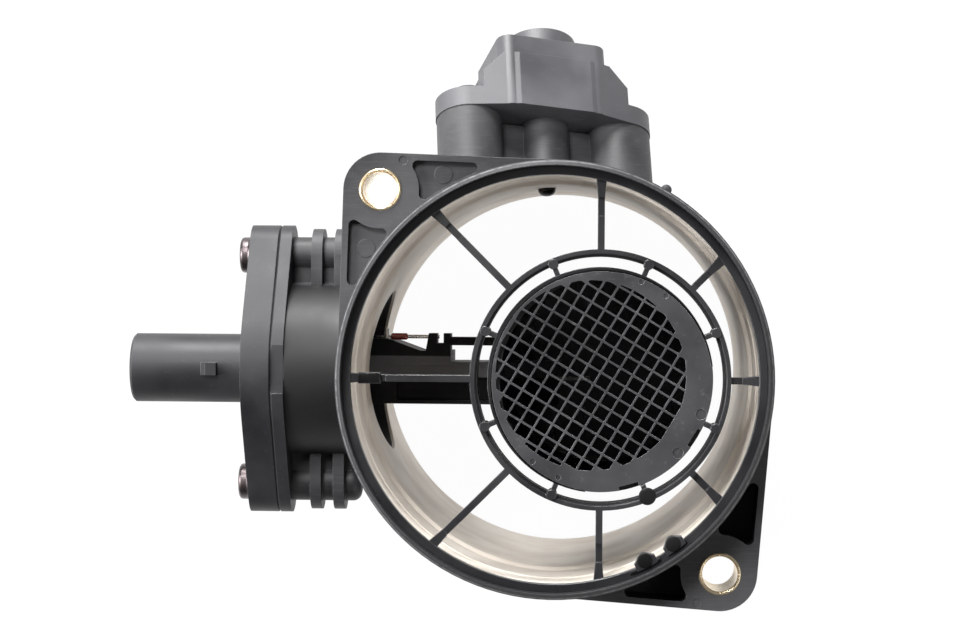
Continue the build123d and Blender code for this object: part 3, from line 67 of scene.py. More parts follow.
# ---------------------------------------------------------------- node sheets
class NodeSheet:
    """Builder over the node tree of one new material."""

    def __init__(self, name: str) -> None:
        """Start a material with a Principled shader.

        Args:
            name: Name of the material.
        """
        self.material = bpy.data.materials.new(name)
        self.material.use_nodes = True
        self.tree = self.material.node_tree
        self.shader = self.tree.nodes["Principled BSDF"]
        self.place = self.add("ShaderNodeTexCoord").outputs["Object"]

    def add(self, kind: str, **settings: object) -> bpy.types.Node:
        """Add a node.

        Args:
            kind: Blender's name for the node type.
            **settings: Properties of the node.

        Returns:
            The new node.
        """
        node = self.tree.nodes.new(kind)
        for key, value in settings.items():
            setattr(node, key, value)
        return node

    def link(self, source: bpy.types.NodeSocket, target: bpy.types.NodeSocket) -> None:
        """Join two sockets.

        Args:
            source: Socket that gives the value.
            target: Socket that takes it.
        """
        self.tree.links.new(source, target)

    def noise(self, scale: float, detail: float = 3.0, stretch: Triple | None = None,
              turn: float = 0.0) -> bpy.types.NodeSocket:
        """Noise on the object's own coordinates.

        Args:
            scale: Features per metre.
            detail: Octaves of the noise.
            stretch: Scale along each axis, for grain that runs one way.
            turn: Turn of the grain about Z.

        Returns:
            The noise's value, from 0 to 1.
        """
        texture = self.add("ShaderNodeTexNoise")
        texture.inputs["Scale"].default_value = scale
        texture.inputs["Detail"].default_value = detail
        source = self.place
        if stretch is not None:
            mapping = self.add("ShaderNodeMapping")
            mapping.inputs["Scale"].default_value = stretch
            mapping.inputs["Rotation"].default_value = (0.0, 0.0, turn)
            self.link(source, mapping.inputs["Vector"])
            source = mapping.outputs["Vector"]
        self.link(source, texture.inputs["Vector"])
        return texture.outputs["Fac"]

    def turned_streaks(self, scale: float) -> bpy.types.NodeSocket:
        """Noise that only changes with the distance from the duct's axis.

        Args:
            scale: Features per metre.

        Returns:
            The noise's value, from 0 to 1.
        """
        flat = self.add("ShaderNodeVectorMath", operation="MULTIPLY")
        flat.inputs[1].default_value = (1.0, 1.0, 0.0)
        self.link(self.place, flat.inputs[0])
        reach = self.add("ShaderNodeVectorMath", operation="LENGTH")
        self.link(flat.outputs["Vector"], reach.inputs[0])
        texture = self.add("ShaderNodeTexNoise", noise_dimensions="1D")
        texture.inputs["Scale"].default_value = scale
        texture.inputs["Detail"].default_value = 3.0
        self.link(reach.outputs["Value"], texture.inputs["W"])
        return texture.outputs["Fac"]

    def within(self, axis: str, span: Span, soft: float = 0.3 * MM) -> bpy.types.NodeSocket:
        """Mask of a slab across one of the object's own axes.

        Args:
            axis: Name of the axis.
            span: Where the slab starts and ends.
            soft: Width of its soft edges.

        Returns:
            The mask, 1 inside the slab.
        """
        parts = self.add("ShaderNodeSeparateXYZ")
        self.link(self.place, parts.inputs[0])
        value = parts.outputs[axis]
        after = self.ranged(value, (span[0] - soft / 2, span[0] + soft / 2))
        before = self.ranged(value, (span[1] - soft / 2, span[1] + soft / 2), (1.0, 0.0))
        return self.product(after, before)

    def ranged(self, value: bpy.types.NodeSocket, span: Span,
               result: Span = (0.0, 1.0)) -> bpy.types.NodeSocket:
        """Map a value from one range to another, clamped.

        Args:
            value: Socket to read.
            span: Lowest and highest value that is read.
            result: What they become.

        Returns:
            The mapped value.
        """
        node = self.add("ShaderNodeMapRange")
        node.inputs["From Min"].default_value = span[0]
        node.inputs["From Max"].default_value = span[1]
        node.inputs["To Min"].default_value = result[0]
        node.inputs["To Max"].default_value = result[1]
        self.link(value, node.inputs["Value"])
        return node.outputs["Result"]

    def blend(self, factor: bpy.types.NodeSocket, low: Colour | bpy.types.NodeSocket,
              high: Colour | bpy.types.NodeSocket) -> bpy.types.NodeSocket:
        """Mix two colours by a factor.

        Args:
            factor: Socket that drives the mix.
            low: Colour or socket at 0.
            high: Colour or socket at 1.

        Returns:
            The mixed colour.
        """
        node = self.add("ShaderNodeMix", data_type="RGBA")
        self.link(factor, node.inputs["Factor"])
        for end, socket in zip((low, high), node.inputs[COLOUR_ENDS]):
            if isinstance(end, bpy.types.NodeSocket):
                self.link(end, socket)
            else:
                socket.default_value = (*end, 1.0)
        return node.outputs[COLOUR_RESULT]

    def product(self, first: bpy.types.NodeSocket,
                second: bpy.types.NodeSocket) -> bpy.types.NodeSocket:
        """Multiply two values.

        Args:
            first: One value.
            second: The other.

        Returns:
            Their product.
        """
        node = self.add("ShaderNodeMath", operation="MULTIPLY")
        self.link(first, node.inputs[0])
        self.link(second, node.inputs[1])
        return node.outputs[0]

    def rounded_edges(self, radius: float) -> tuple[bpy.types.NodeSocket, bpy.types.NodeSocket]:
        """Normals that round the edges off, and a mask of those edges.

        Args:
            radius: Radius of the rounding.

        Returns:
            The rounded normal, and a mask that is 1 on the edges.
        """
        bevel = self.add("ShaderNodeBevel", samples=4)
        bevel.inputs["Radius"].default_value = radius
        geometry = self.add("ShaderNodeNewGeometry")
        dot = self.add("ShaderNodeVectorMath", operation="DOT_PRODUCT")
        self.link(bevel.outputs["Normal"], dot.inputs[0])
        self.link(geometry.outputs["Normal"], dot.inputs[1])
        mask = self.ranged(dot.outputs["Value"], EDGE_TURN)
        return bevel.outputs["Normal"], mask

    def bump(self, height: bpy.types.NodeSocket, distance: float, strength: float,
             normal: bpy.types.NodeSocket | None = None) -> bpy.types.NodeSocket:
        """Raise the surface by a height.

        Args:
            height: Socket of the height, from 0 to 1.
            distance: Depth that 1 stands for.
            strength: Strength of the effect.
            normal: Normal to start from.

        Returns:
            The new normal.
        """
        node = self.add("ShaderNodeBump")
        node.inputs["Strength"].default_value = strength
        node.inputs["Distance"].default_value = distance
        self.link(height, node.inputs["Height"])
        if normal is not None:
            self.link(normal, node.inputs["Normal"])
        return node.outputs["Normal"]

    def finish(self, colour: bpy.types.NodeSocket, roughness: bpy.types.NodeSocket,
               normal: bpy.types.NodeSocket) -> bpy.types.Material:
        """Join the main sockets and hand the material over.

        Args:
            colour: Socket of the base colour.
            roughness: Socket of the roughness.
            normal: Socket of the normal.

        Returns:
            The material.
        """
        self.link(colour, self.shader.inputs["Base Color"])
        self.link(roughness, self.shader.inputs["Roughness"])
        self.link(normal, self.shader.inputs["Normal"])
        return self.material


# ---------------------------------------------------------------- finishes
@dataclass(frozen=True)
class MouldedPlastic:
    """Black glass-filled plastic as it leaves the mould: fine grain, a little bloom, worn edges.

    The skin may carry painted shade within a slab across X and Y and a strip of painted light
    across Y inside it, be worn by turning within a slab across Z, and be brushed all over.
    """

    name: str
    deep: Colour = (0.012, 0.012, 0.013)
    bloom: Colour = (0.026, 0.026, 0.028)
    edge: Colour = (0.10, 0.10, 0.105)
    smooth: float = 0.40
    rough: float = 0.58
    grain: float = 3200.0
    grain_depth: float = 0.05 * MM
    grain_strength: float = 0.35
    edge_round: float = 0.22 * MM
    edge_wear: float = 0.55
    speck: float = 0.10
    specular: float = 0.5
    # Painted shade: a near-black tone within a slab across X and Y, with a paler strip of painted
    # light across Y inside it.
    painted_shade_x: Span | None = None
    painted_shade_y: Span | None = None
    painted_shade: Colour = (0.003, 0.003, 0.0035)
    lit_y: Span | None = None
    lit: Colour = (0.11, 0.11, 0.115)
    turned_z: Span | None = None
    turned: Colour = (0.010, 0.010, 0.011)
    streak: Colour = (0.10, 0.10, 0.104)
    brush: Triple = (0.25, 4.0, 1.0)
    brush_turn: float = 0.35
    brushed: float = 0.0
    blotch_scale: float = 55.0
    blotch_span: Span = (0.36, 0.66)
    fibre_scale: float = 900.0
    speck_span: Span = (0.62, 0.84)
    wear_span: Span = (0.25, 0.65)
    least_wear: float = 0.15
    gloss_span: Span = (0.30, 0.72)
    brush_scale: float = 600.0
    brush_span: Span = (0.52, 0.78)
    line_scale: float = 2600.0
    line_span: Span = (0.52, 0.66)
    line_wear_span: Span = (0.25, 0.60)

    def make(self) -> bpy.types.Material:
        """Build the material.

        Returns:
            The material.
        """
        sheet = NodeSheet(self.name)
        blotch = sheet.noise(self.blotch_scale, 4.0)
        fibre = sheet.noise(self.fibre_scale, 2.0)
        grain = sheet.noise(self.grain, 2.0)
        tone = sheet.blend(sheet.ranged(blotch, self.blotch_span), self.deep, self.bloom)
        speck = sheet.ranged(fibre, self.speck_span, (0.0, self.speck))
        tone = sheet.blend(speck, tone, self.edge)
        normal, edges = sheet.rounded_edges(self.edge_round)
        worn = sheet.ranged(fibre, self.wear_span, (self.least_wear, self.edge_wear))
        tone = sheet.blend(sheet.product(edges, worn), tone, self.edge)
        roughness = sheet.ranged(blotch, self.gloss_span, (self.smooth, self.rough))
        normal = sheet.bump(grain, self.grain_depth, self.grain_strength, normal)
        sheet.shader.inputs["Specular IOR Level"].default_value = self.specular
        if self.brushed > 0.0:
            brush = sheet.noise(self.brush_scale, 4.0, self.brush, self.brush_turn)
            share = sheet.ranged(brush, self.brush_span, (0.0, self.brushed))
            tone = sheet.blend(share, tone, self.edge)
        if self.turned_z is not None:
            lines = sheet.ranged(sheet.turned_streaks(self.line_scale), self.line_span)
            worn = sheet.ranged(fibre, self.line_wear_span, (self.least_wear, 1.0))
            turned = sheet.blend(sheet.product(lines, worn), self.turned, self.streak)
            tone = sheet.blend(sheet.within("Z", self.turned_z), tone, turned)
        # Painted shade and painted light, by place on the object.
        if self.painted_shade_x is not None:
            tone = sheet.blend(self.painted_shade_share(sheet), tone, self.painted_shade_tone(sheet))
        return sheet.finish(tone, roughness, normal)

    def painted_shade_share(self, sheet: NodeSheet) -> bpy.types.NodeSocket:
        """Mask of the part darkened by painted shade.

        Args:
            sheet: Sheet to add it to.

        Returns:
            The mask, 1 where painted shade darkens the plastic.
        """
        share = sheet.within("X", self.painted_shade_x)
        if self.painted_shade_y is not None:
            share = sheet.product(share, sheet.within("Y", self.painted_shade_y))
        return share

    def painted_shade_tone(self, sheet: NodeSheet) -> Colour | bpy.types.NodeSocket:
        """Colour of the painted shade, with its strip of painted light where it has one.

        Args:
            sheet: Sheet to add it to.

        Returns:
            The colour.
        """
        if self.lit_y is None:
            return self.painted_shade
        return sheet.blend(sheet.within("Y", self.lit_y), self.painted_shade, self.lit)


@dataclass(frozen=True)
class WorkedMetal:
    """Metal with its working marks, a thin film of dirt and bright edges."""

    name: str
    bright: Colour
    dull: Colour
    smooth: float = 0.25
    rough: float = 0.42
    marks: float = 900.0
    stretch: Triple = (1.0, 1.0, 1.0)
    mark_depth: float = 0.02 * MM
    mark_strength: float = 0.25
    stain: float = 90.0
    edge_round: float = 0.12 * MM
    metallic: float = 1.0
    stain_span: Span = (0.40, 0.68)
    edge_span: Span = (0.2, 1.0)
    edge_share: float = 0.5
    gloss_span: Span = (0.32, 0.70)

    def make(self) -> bpy.types.Material:
        """Build the material.

        Returns:
            The material.
        """
        sheet = NodeSheet(self.name)
        sheet.shader.inputs["Metallic"].default_value = self.metallic
        marks = sheet.noise(self.marks, 4.0, self.stretch)
        stain = sheet.noise(self.stain, 5.0)
        tone = sheet.blend(sheet.ranged(stain, self.stain_span), self.bright, self.dull)
        normal, edges = sheet.rounded_edges(self.edge_round)
        rubbed = sheet.ranged(edges, self.edge_span, (0.0, self.edge_share))
        tone = sheet.blend(rubbed, tone, self.bright)
        roughness = sheet.ranged(stain, self.gloss_span, (self.smooth, self.rough))
        normal = sheet.bump(marks, self.mark_depth, self.mark_strength, normal)
        return sheet.finish(tone, roughness, normal)


@dataclass(frozen=True)
class Elastomer:
    """Moulded seal rubber with a soft sheen."""

    name: str
    deep: Colour = (0.012, 0.012, 0.013)
    bloom: Colour = (0.035, 0.034, 0.033)
    sheen: float = 0.15
    smooth: float = 0.55
    rough: float = 0.75
    cloud: float = 220.0
    cloud_span: Span = (0.35, 0.7)
    gloss_span: Span = (0.3, 0.7)
    grain: float = 5200.0
    grain_depth: float = 0.03 * MM
    grain_strength: float = 0.3
    edge_round: float = 0.1 * MM

    def make(self) -> bpy.types.Material:
        """Build the material.

        Returns:
            The material.
        """
        sheet = NodeSheet(self.name)
        sheet.shader.inputs["Sheen Weight"].default_value = self.sheen
        cloud = sheet.noise(self.cloud, 3.0)
        tone = sheet.blend(sheet.ranged(cloud, self.cloud_span), self.deep, self.bloom)
        roughness = sheet.ranged(cloud, self.gloss_span, (self.smooth, self.rough))
        normal, _ = sheet.rounded_edges(self.edge_round)
        grain = sheet.noise(self.grain, 2.0)
        normal = sheet.bump(grain, self.grain_depth, self.grain_strength, normal)
        return sheet.finish(tone, roughness, normal)


@dataclass(frozen=True)
class Glaze:
    """Hard glassy or fired surface under a clear skin."""

    name: str
    deep: Colour
    pale: Colour
    smooth: float = 0.08
    rough: float = 0.2
    clear: float = 0.0
    coat: float = 1.0
    coat_rough: float = 0.06
    cloud: float = 900.0
    cloud_span: Span = (0.35, 0.7)
    gloss_span: Span = (0.3, 0.7)
    ripple_depth: float = 0.01 * MM
    ripple_strength: float = 0.1
    edge_round: float = 0.08 * MM

    def make(self) -> bpy.types.Material:
        """Build the material.

        Returns:
            The material.
        """
        sheet = NodeSheet(self.name)
        sheet.shader.inputs["Coat Weight"].default_value = self.coat
        sheet.shader.inputs["Coat Roughness"].default_value = self.coat_rough
        sheet.shader.inputs["Transmission Weight"].default_value = self.clear
        cloud = sheet.noise(self.cloud, 3.0)
        tone = sheet.blend(sheet.ranged(cloud, self.cloud_span), self.deep, self.pale)
        roughness = sheet.ranged(cloud, self.gloss_span, (self.smooth, self.rough))
        normal, _ = sheet.rounded_edges(self.edge_round)
        normal = sheet.bump(cloud, self.ripple_depth, self.ripple_strength, normal)
        return sheet.finish(tone, roughness, normal)


class Finish(Enum):
    """The finishes of the sensor."""

    # The duct's neck is darkened with painted shade, within the slab across X and Y.
    HOUSING = MouldedPlastic(
        "housing_plastic", deep=(0.013, 0.013, 0.014), bloom=(0.034, 0.034, 0.036), smooth=0.46,
        rough=0.64, specular=0.25, painted_shade_x=(-90.0 * MM, -47.8 * MM),
        painted_shade_y=(-19.0 * MM, 19.0 * MM), painted_shade=(0.004, 0.004, 0.0045),
        turned_z=(94.6 * MM, 99.0 * MM), brushed=0.14)
    CARRIER = MouldedPlastic(
        "carrier_plastic", deep=(0.005, 0.005, 0.006), bloom=(0.011, 0.011, 0.012),
        edge=(0.07, 0.07, 0.075), smooth=0.26, rough=0.40, grain_strength=0.2)
    TUBE = MouldedPlastic(
        "tube_plastic", deep=(0.003, 0.003, 0.003), bloom=(0.005, 0.005, 0.006),
        edge=(0.02, 0.02, 0.022), smooth=0.22, rough=0.34, grain_strength=0.15)
    # The arm's lid is near-black with painted shade, with a strip of painted light along its upper
    # side.
    ARM = MouldedPlastic(
        "arm_plastic", deep=(0.030, 0.030, 0.032), bloom=(0.065, 0.065, 0.068),
        edge=(0.14, 0.14, 0.15), smooth=0.36, rough=0.50, specular=0.15,
        painted_shade_x=(-60.0 * MM, 60.0 * MM), lit_y=LIT_STRIP)
    GRID = MouldedPlastic(
        "grid_plastic", deep=(0.010, 0.010, 0.011), bloom=(0.022, 0.022, 0.024),
        edge=(0.30, 0.30, 0.31), smooth=0.30, rough=0.45, edge_round=0.09 * MM, edge_wear=0.9,
        grain_strength=0.2)
    MELTED = MouldedPlastic(
        "melted_plastic", deep=(0.002, 0.002, 0.002), bloom=(0.005, 0.005, 0.005),
        edge=(0.01, 0.01, 0.01), smooth=0.26, rough=0.44, grain=700.0, grain_strength=0.25,
        specular=0.12)
    # The sensor's body is near-black with painted shade where it reaches into the duct, past X =
    # -42.2 mm, with a strip of painted light along its arm.
    SENSOR = MouldedPlastic(
        "sensor_plastic", deep=(0.007, 0.007, 0.008), bloom=(0.017, 0.017, 0.019), smooth=0.42,
        rough=0.60, specular=0.23, painted_shade_x=(-42.2 * MM, 60.0 * MM), lit_y=LIT_STRIP)
    PRESSURE = MouldedPlastic(
        "pressure_plastic", deep=(0.022, 0.022, 0.025), bloom=(0.043, 0.043, 0.047), edge_wear=0.2,
        smooth=0.45, rough=0.62)
    LINER = WorkedMetal(
        "liner_sheet", bright=(0.93, 0.86, 0.77), dull=(0.82, 0.74, 0.655), smooth=0.42, rough=0.56,
        stretch=(1.0, 1.0, 0.04), marks=1500.0, metallic=0.2)
    BRASS = WorkedMetal(
        "turned_brass", bright=(0.95, 0.80, 0.55), dull=(0.80, 0.62, 0.38), stretch=(1.0, 1.0, 6.0),
        smooth=0.2, rough=0.36)
    SCREW = WorkedMetal(
        "dark_steel", bright=(0.085, 0.071, 0.073), dull=(0.038, 0.031, 0.032), smooth=0.30,
        rough=0.46, stain=400.0)
    TINNED = WorkedMetal(
        "tinned_lead", bright=(0.86, 0.85, 0.83), dull=(0.62, 0.61, 0.59), smooth=0.2, rough=0.32,
        stretch=(0.1, 1.0, 1.0))
    CONTACT = WorkedMetal(
        "plated_contact", bright=(0.84, 0.80, 0.70), dull=(0.64, 0.58, 0.46), smooth=0.2,
        rough=0.35)
    SEAL = Elastomer("seal_moulding")
    BOARD = Glaze(
        "board_resist", deep=(0.01, 0.09, 0.045), pale=(0.02, 0.16, 0.08), smooth=0.3, rough=0.42,
        coat=0.3)
    CHIP = Glaze(
        "chip_moulding", deep=(0.02, 0.02, 0.022), pale=(0.045, 0.045, 0.048), smooth=0.45,
        rough=0.6, coat=0.0)
    CERAMIC = Glaze(
        "film_ceramic", deep=(0.72, 0.70, 0.66), pale=(0.82, 0.80, 0.77), smooth=0.35, rough=0.5,
        coat=0.2)
    BEAD = Glaze("bead_glass", deep=(0.42, 0.035, 0.02), pale=(0.70, 0.13, 0.09), clear=0.10)

    def material(self) -> bpy.types.Material:
        """The finish's material, built when it is first asked for."""
        return bpy.data.materials.get(self.value.name) or self.value.make()


# ---------------------------------------------------------------- helpers for pieces
def dress(finishes: dict[str, Finish]) -> None:
    """Give CAD nodes their finishes.

    Args:
        finishes: Finish of each node, by the node's name.
    """
    for node, finish in finishes.items():
        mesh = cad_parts[node].data
        mesh.materials.clear()
        mesh.materials.append(finish.material())
        LOG.info("%s: %s", node, finish.value.name)


def make_piece(name: str, mesh: bmesh.types.BMesh, finish: Finish) -> bpy.types.Object:
    """Turn a bmesh into a finished piece that rides on the sensor.

    Args:
        name: Name of the piece.
        mesh: Its shape, which is freed.
        finish: Its finish.

    Returns:
        The piece.
    """
    bmesh.ops.remove_doubles(mesh, verts=mesh.verts, dist=MERGE_DISTANCE)
    bmesh.ops.recalc_face_normals(mesh, faces=mesh.faces)
    data = bpy.data.meshes.new(name)
    mesh.to_mesh(data)
    mesh.free()
    data.materials.append(finish.material())
    piece = bpy.data.objects.new(name, data)
    bpy.context.scene.collection.objects.link(piece)
    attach(piece, BODY)
    LOG.info("%s: %d faces", name, len(data.polygons))
    return piece


def shade_smooth(form: bmesh.types.BMesh, smooth: bool) -> None:
    """Shade every face of a form smooth or flat.

    Args:
        form: Form to shade.
        smooth: Whether its faces are shaded smooth.
    """
    for face in form.faces:
        face.smooth = smooth


def turned_form(profile: tuple[Corner, ...], sides: int = 48) -> bmesh.types.BMesh:
    """Spin a half section about Z.

    Args:
        profile: Corners of the half section, as radius and height.
        sides: Steps of a full turn.

    Returns:
        The turned form.
    """
    form = bmesh.new()
    verts = [form.verts.new((x, 0.0, z)) for x, z in profile]
    for low, high in zip(verts, verts[1:]):
        form.edges.new((low, high))
    bmesh.ops.spin(form, geom=form.verts[:] + form.edges[:], cent=(0, 0, 0), axis=(0, 0, 1),
                   angle=math.tau, steps=sides, use_merge=True, use_duplicate=False)
    bmesh.ops.remove_doubles(form, verts=form.verts, dist=SEAM_DISTANCE)
    shade_smooth(form, True)
    return form


def raised_form(outline: list[Corner], low: float, high: float,
                softness: float) -> bmesh.types.BMesh:
    """Raise a flat outline and soften its upper edge.

    Args:
        outline: Corners of the outline in XY.
        low: Height of its foot.
        high: Height of its top.
        softness: Radius of the upper edge.

    Returns:
        The raised form.
    """
    form = bmesh.new()
    foot = form.faces.new([form.verts.new((x, y, low)) for x, y in outline])
    raised = bmesh.ops.extrude_face_region(form, geom=[foot])["geom"]
    top = [item for item in raised if isinstance(item, bmesh.types.BMVert)]
    bmesh.ops.translate(form, verts=top, vec=(0.0, 0.0, high - low))
    rim = [edge for edge in form.edges if all(vert in top for vert in edge.verts)]
    bmesh.ops.bevel(form, geom=rim, offset=softness, segments=3, affect="EDGES", profile=0.5,
                    material=-1)
    shade_smooth(form, True)
    return form


def add_form(mesh: bmesh.types.BMesh, form: bmesh.types.BMesh, place: Matrix | None = None) -> None:
    """Put a form in its place and add it to a piece's mesh.

    Args:
        mesh: Mesh of the piece.
        form: Form to add, which is freed.
        place: Where it goes.
    """
    if place is not None:
        bmesh.ops.transform(form, matrix=place, verts=form.verts)
    temporary = bpy.data.meshes.new("form")
    form.to_mesh(temporary)
    form.free()
    mesh.from_mesh(temporary)
    bpy.data.meshes.remove(temporary)


def axes(origin: Vector, x_axis: Vector, z_axis: Vector) -> Matrix:
    """Frame from its origin, its z axis and the rough direction of its x axis.

    Args:
        origin: Where the frame stands.
        x_axis: Direction near its x axis.
        z_axis: Its z axis.

    Returns:
        The frame's matrix.
    """
    up = z_axis.normalized()
    along = (x_axis - up * x_axis.dot(up)).normalized()
    turn = Matrix((along, up.cross(along), up)).transposed()
    return Matrix.Translation(origin) @ turn.to_4x4()


# ---------------------------------------------------------------- studio
@dataclass
class Softbox:
    """One square area lamp that looks at the sensor."""

    name: str
    place: Triple
    size: float
    power: float

    def make(self, target: Vector) -> None:
        """Hang the lamp.

        Args:
            target: Point it looks at.
        """
        lamp = bpy.data.lights.new(self.name, "AREA")
        lamp.shape = "SQUARE"
        lamp.size = self.size
        lamp.energy = self.power
        holder = bpy.data.objects.new(self.name, lamp)
        holder.location = self.place
        holder.rotation_euler = (target - Vector(self.place)).to_track_quat("-Z", "Y").to_euler()
        bpy.context.scene.collection.objects.link(holder)


@dataclass
class Studio:
    """Plain white floor, soft lamps and the camera above the inlet.

    The view axis is the part's -Z in the camera's own frame, and the roll is the part's turn in it.
    """

    camera_place: Triple = (7.9 * MM, 15.3 * MM, 566.0 * MM)
    view_axis: Triple = (0.0485, 0.0070, -1.0)
    roll: float = 0.42
    lens: float = 88.125
    sensor_width: float = 36.0
    near_clip: float = 0.01
    far_clip: float = 20.0
    aim: Triple = (0.0, 0.0, 0.05)
    floor_size: float = 6.0
    floor_drop: float = 0.3 * MM
    world_strength: float = 0.16
    world_gloss: float = 0.16
    floor_share: float = 0.97
    floor_glow: float = 0.70
    paper_tone: Colour = (0.88, 0.88, 0.88)
    softboxes: tuple[Softbox, ...] = (
        Softbox("key_softbox", (-0.30, 0.62, 0.98), 0.36, 17.5),
        Softbox("left_softbox", (-0.85, 0.05, 0.48), 0.5, 22.0),
        Softbox("fill_softbox", (0.75, -0.35, 0.70), 0.9, 8.5),
        Softbox("back_softbox", (-0.25, 1.15, 0.36), 0.5, 44.0),
    )

    def build(self) -> None:
        """Set the whole studio."""
        bpy.context.scene.view_settings.view_transform = "Standard"
        self.set_camera()
        self.lay_floor()
        self.light_world()
        for softbox in self.softboxes:
            softbox.make(Vector(self.aim))
        LOG.info("studio: %d softboxes", len(self.softboxes))

    def set_camera(self) -> None:
        """Stand the camera above the inlet, a little off the duct's axis.

        The part's axes are worked out in the camera's frame, so they are the rows of its turn.
        """
        down = Vector(self.view_axis).normalized()
        roll = math.radians(self.roll)
        part_z = -down
        part_x = Vector((math.cos(roll), -math.sin(roll), 0.0))
        part_x = (part_x - part_z * part_x.dot(part_z)).normalized()
        part_y = part_z.cross(part_x)
        turn = Matrix((part_x, part_y, part_z))
        data = bpy.data.cameras.new("camera")
        data.lens = self.lens
        data.sensor_width = self.sensor_width
        data.clip_start = self.near_clip
        data.clip_end = self.far_clip
        camera = bpy.data.objects.new("camera", data)
        camera.matrix_world = Matrix.Translation(self.camera_place) @ turn.to_4x4()
        bpy.context.scene.collection.objects.link(camera)
        bpy.context.scene.camera = camera

    def lay_floor(self) -> None:
        """Lay the white floor, which the camera sees lit and which keeps a faint shadow."""
        mesh = bmesh.new()
        bmesh.ops.create_grid(mesh, x_segments=2, y_segments=2, size=self.floor_size / 2)
        bmesh.ops.translate(mesh, verts=mesh.verts, vec=(0.0, 0.0, -self.floor_drop))
        data = bpy.data.meshes.new("floor")
        mesh.to_mesh(data)
        mesh.free()
        floor = bpy.data.objects.new("floor", data)
        bpy.context.scene.collection.objects.link(floor)
        data.materials.append(self.floor_paper())

    def floor_paper(self) -> bpy.types.Material:
        """Paper of the floor: almost plain white to the camera, and glowing softly for the rest.

        Returns:
            The material.
        """
        material = bpy.data.materials.new("floor_paper")
        material.use_nodes = True
        tree = material.node_tree
        tree.nodes.clear()
        paper = tree.nodes.new("ShaderNodeBsdfDiffuse")
        paper.inputs["Color"].default_value = (*self.paper_tone, 1.0)
        glow = tree.nodes.new("ShaderNodeEmission")
        glow.inputs["Color"].default_value = (1.0, 1.0, 1.0, 1.0)
        glow.inputs["Strength"].default_value = 1.0
        mix = tree.nodes.new("ShaderNodeMixShader")
        out = tree.nodes.new("ShaderNodeOutputMaterial")
        share = self.by_ray(tree, self.floor_glow, self.floor_glow, self.floor_share)
        tree.links.new(share, mix.inputs[0])
        tree.links.new(paper.outputs[0], mix.inputs[1])
        tree.links.new(glow.outputs[0], mix.inputs[2])
        tree.links.new(mix.outputs[0], out.inputs["Surface"])
        return material

    def by_ray(self, tree: bpy.types.NodeTree, other: float, glossy: float,
               seen: float) -> bpy.types.NodeSocket:
        """Value that depends on what kind of ray asks for it.

        Args:
            tree: Node tree to add it to.
            other: Value for diffuse and shadow rays.
            glossy: Value for glossy rays.
            seen: Value for camera and transmission rays.

        Returns:
            Socket of the value.
        """
        path = tree.nodes.new("ShaderNodeLightPath")
        value = None
        kinds = {"Is Glossy Ray": glossy, "Is Transmission Ray": seen, "Is Camera Ray": seen}
        for name, high in kinds.items():
            ranged = tree.nodes.new("ShaderNodeMapRange")
            ranged.inputs["To Min"].default_value = other
            ranged.inputs["To Max"].default_value = high
            tree.links.new(path.outputs[name], ranged.inputs["Value"])
            if value is not None:
                tree.links.new(value, ranged.inputs["To Min"])
            value = ranged.outputs["Result"]
        return value

    def light_world(self) -> None:
        """White world for the rays that show it, and a softer one for the light it gives."""
        world = bpy.data.worlds.new("studio_world")
        bpy.context.scene.world = world
        world.use_nodes = True
        tree = world.node_tree
        back = tree.nodes["Background"]
        back.inputs["Color"].default_value = (1.0, 1.0, 1.0, 1.0)
        strength = self.by_ray(tree, self.world_strength, self.world_gloss, 1.0)
        tree.links.new(strength, back.inputs["Strength"])


# ---------------------------------------------------------------- screws
@dataclass
class FlangedScrew:
    """Flanged pan-head screw with a six-lobed recess, head up on its frame's origin."""

    head_radius: float = 4.35 * MM
    flange_height: float = 0.8 * MM
    dome_radius: float = 4.05 * MM
    head_height: float = 2.7 * MM
    shank_radius: float = 2.1 * MM
    recess_radius: float = 1.55 * MM
    recess_lobe: float = 0.13
    recess_lobes: int = 6
    recess_depth: float = 1.4 * MM
    point_share: float = 0.6
    bite: float = 15.7 * MM
    sides: int = 48

    def half_section(self) -> tuple[Corner, ...]:
        """Half section from the shank's point to the head's rounded crown, in half flange heights.

        Returns:
            Its corners, as radius and height.
        """
        step = self.flange_height / 2
        head, dome, top = self.head_radius, self.dome_radius, self.head_height
        return (
            (0.0, -self.bite),
            (self.shank_radius * self.point_share, -self.bite),
            (self.shank_radius, -self.bite + self.shank_radius),
            (self.shank_radius, 0.0),
            (head, 0.0),
            (head, step * 0.7),
            (head - step * 0.3, step * 1.3),
            (dome + step * 0.15, step * 1.8),
            (dome, step * 2.4),
            (dome, top - step * 1.8),
            (dome - step * 0.35, top - step * 0.7),
            (dome - step * 1.4, top),
        )

    def add_to(self, mesh: bmesh.types.BMesh, place: Matrix) -> None:
        """Add one screw to a mesh.

        Args:
            mesh: Mesh to add to.
            place: Frame of the screw.
        """
        screw = turned_form(self.half_section(), self.sides)
        self.cut_recess(screw)
        add_form(mesh, screw, place)

    def cut_recess(self, screw: bmesh.types.BMesh) -> None:
        """Sink the lobed recess into the open top of the head.

        Args:
            screw: The turned screw.
        """
        rim = [edge for edge in screw.edges if edge.is_boundary]
        crown = Matrix.Translation((0.0, 0.0, self.head_height))
        lobes = bmesh.ops.create_circle(screw, segments=self.sides, radius=self.recess_radius,
                                        matrix=crown)["verts"]
        for vert in lobes:
            turn = math.atan2(vert.co.y, vert.co.x)
            reach = 1.0 + self.recess_lobe * math.cos(self.recess_lobes * turn)
            vert.co.x *= reach
            vert.co.y *= reach
        ring = list(dict.fromkeys(edge for vert in lobes for edge in vert.link_edges))
        bmesh.ops.bridge_loops(screw, edges=rim + ring)
        wall = bmesh.ops.extrude_edge_only(screw, edges=ring)["geom"]
        floor = [item for item in wall if isinstance(item, bmesh.types.BMVert)]
        bmesh.ops.translate(screw, verts=floor, vec=(0.0, 0.0, -self.recess_depth))
        bmesh.ops.contextual_create(screw, geom=[edge for edge in screw.edges if edge.is_boundary])


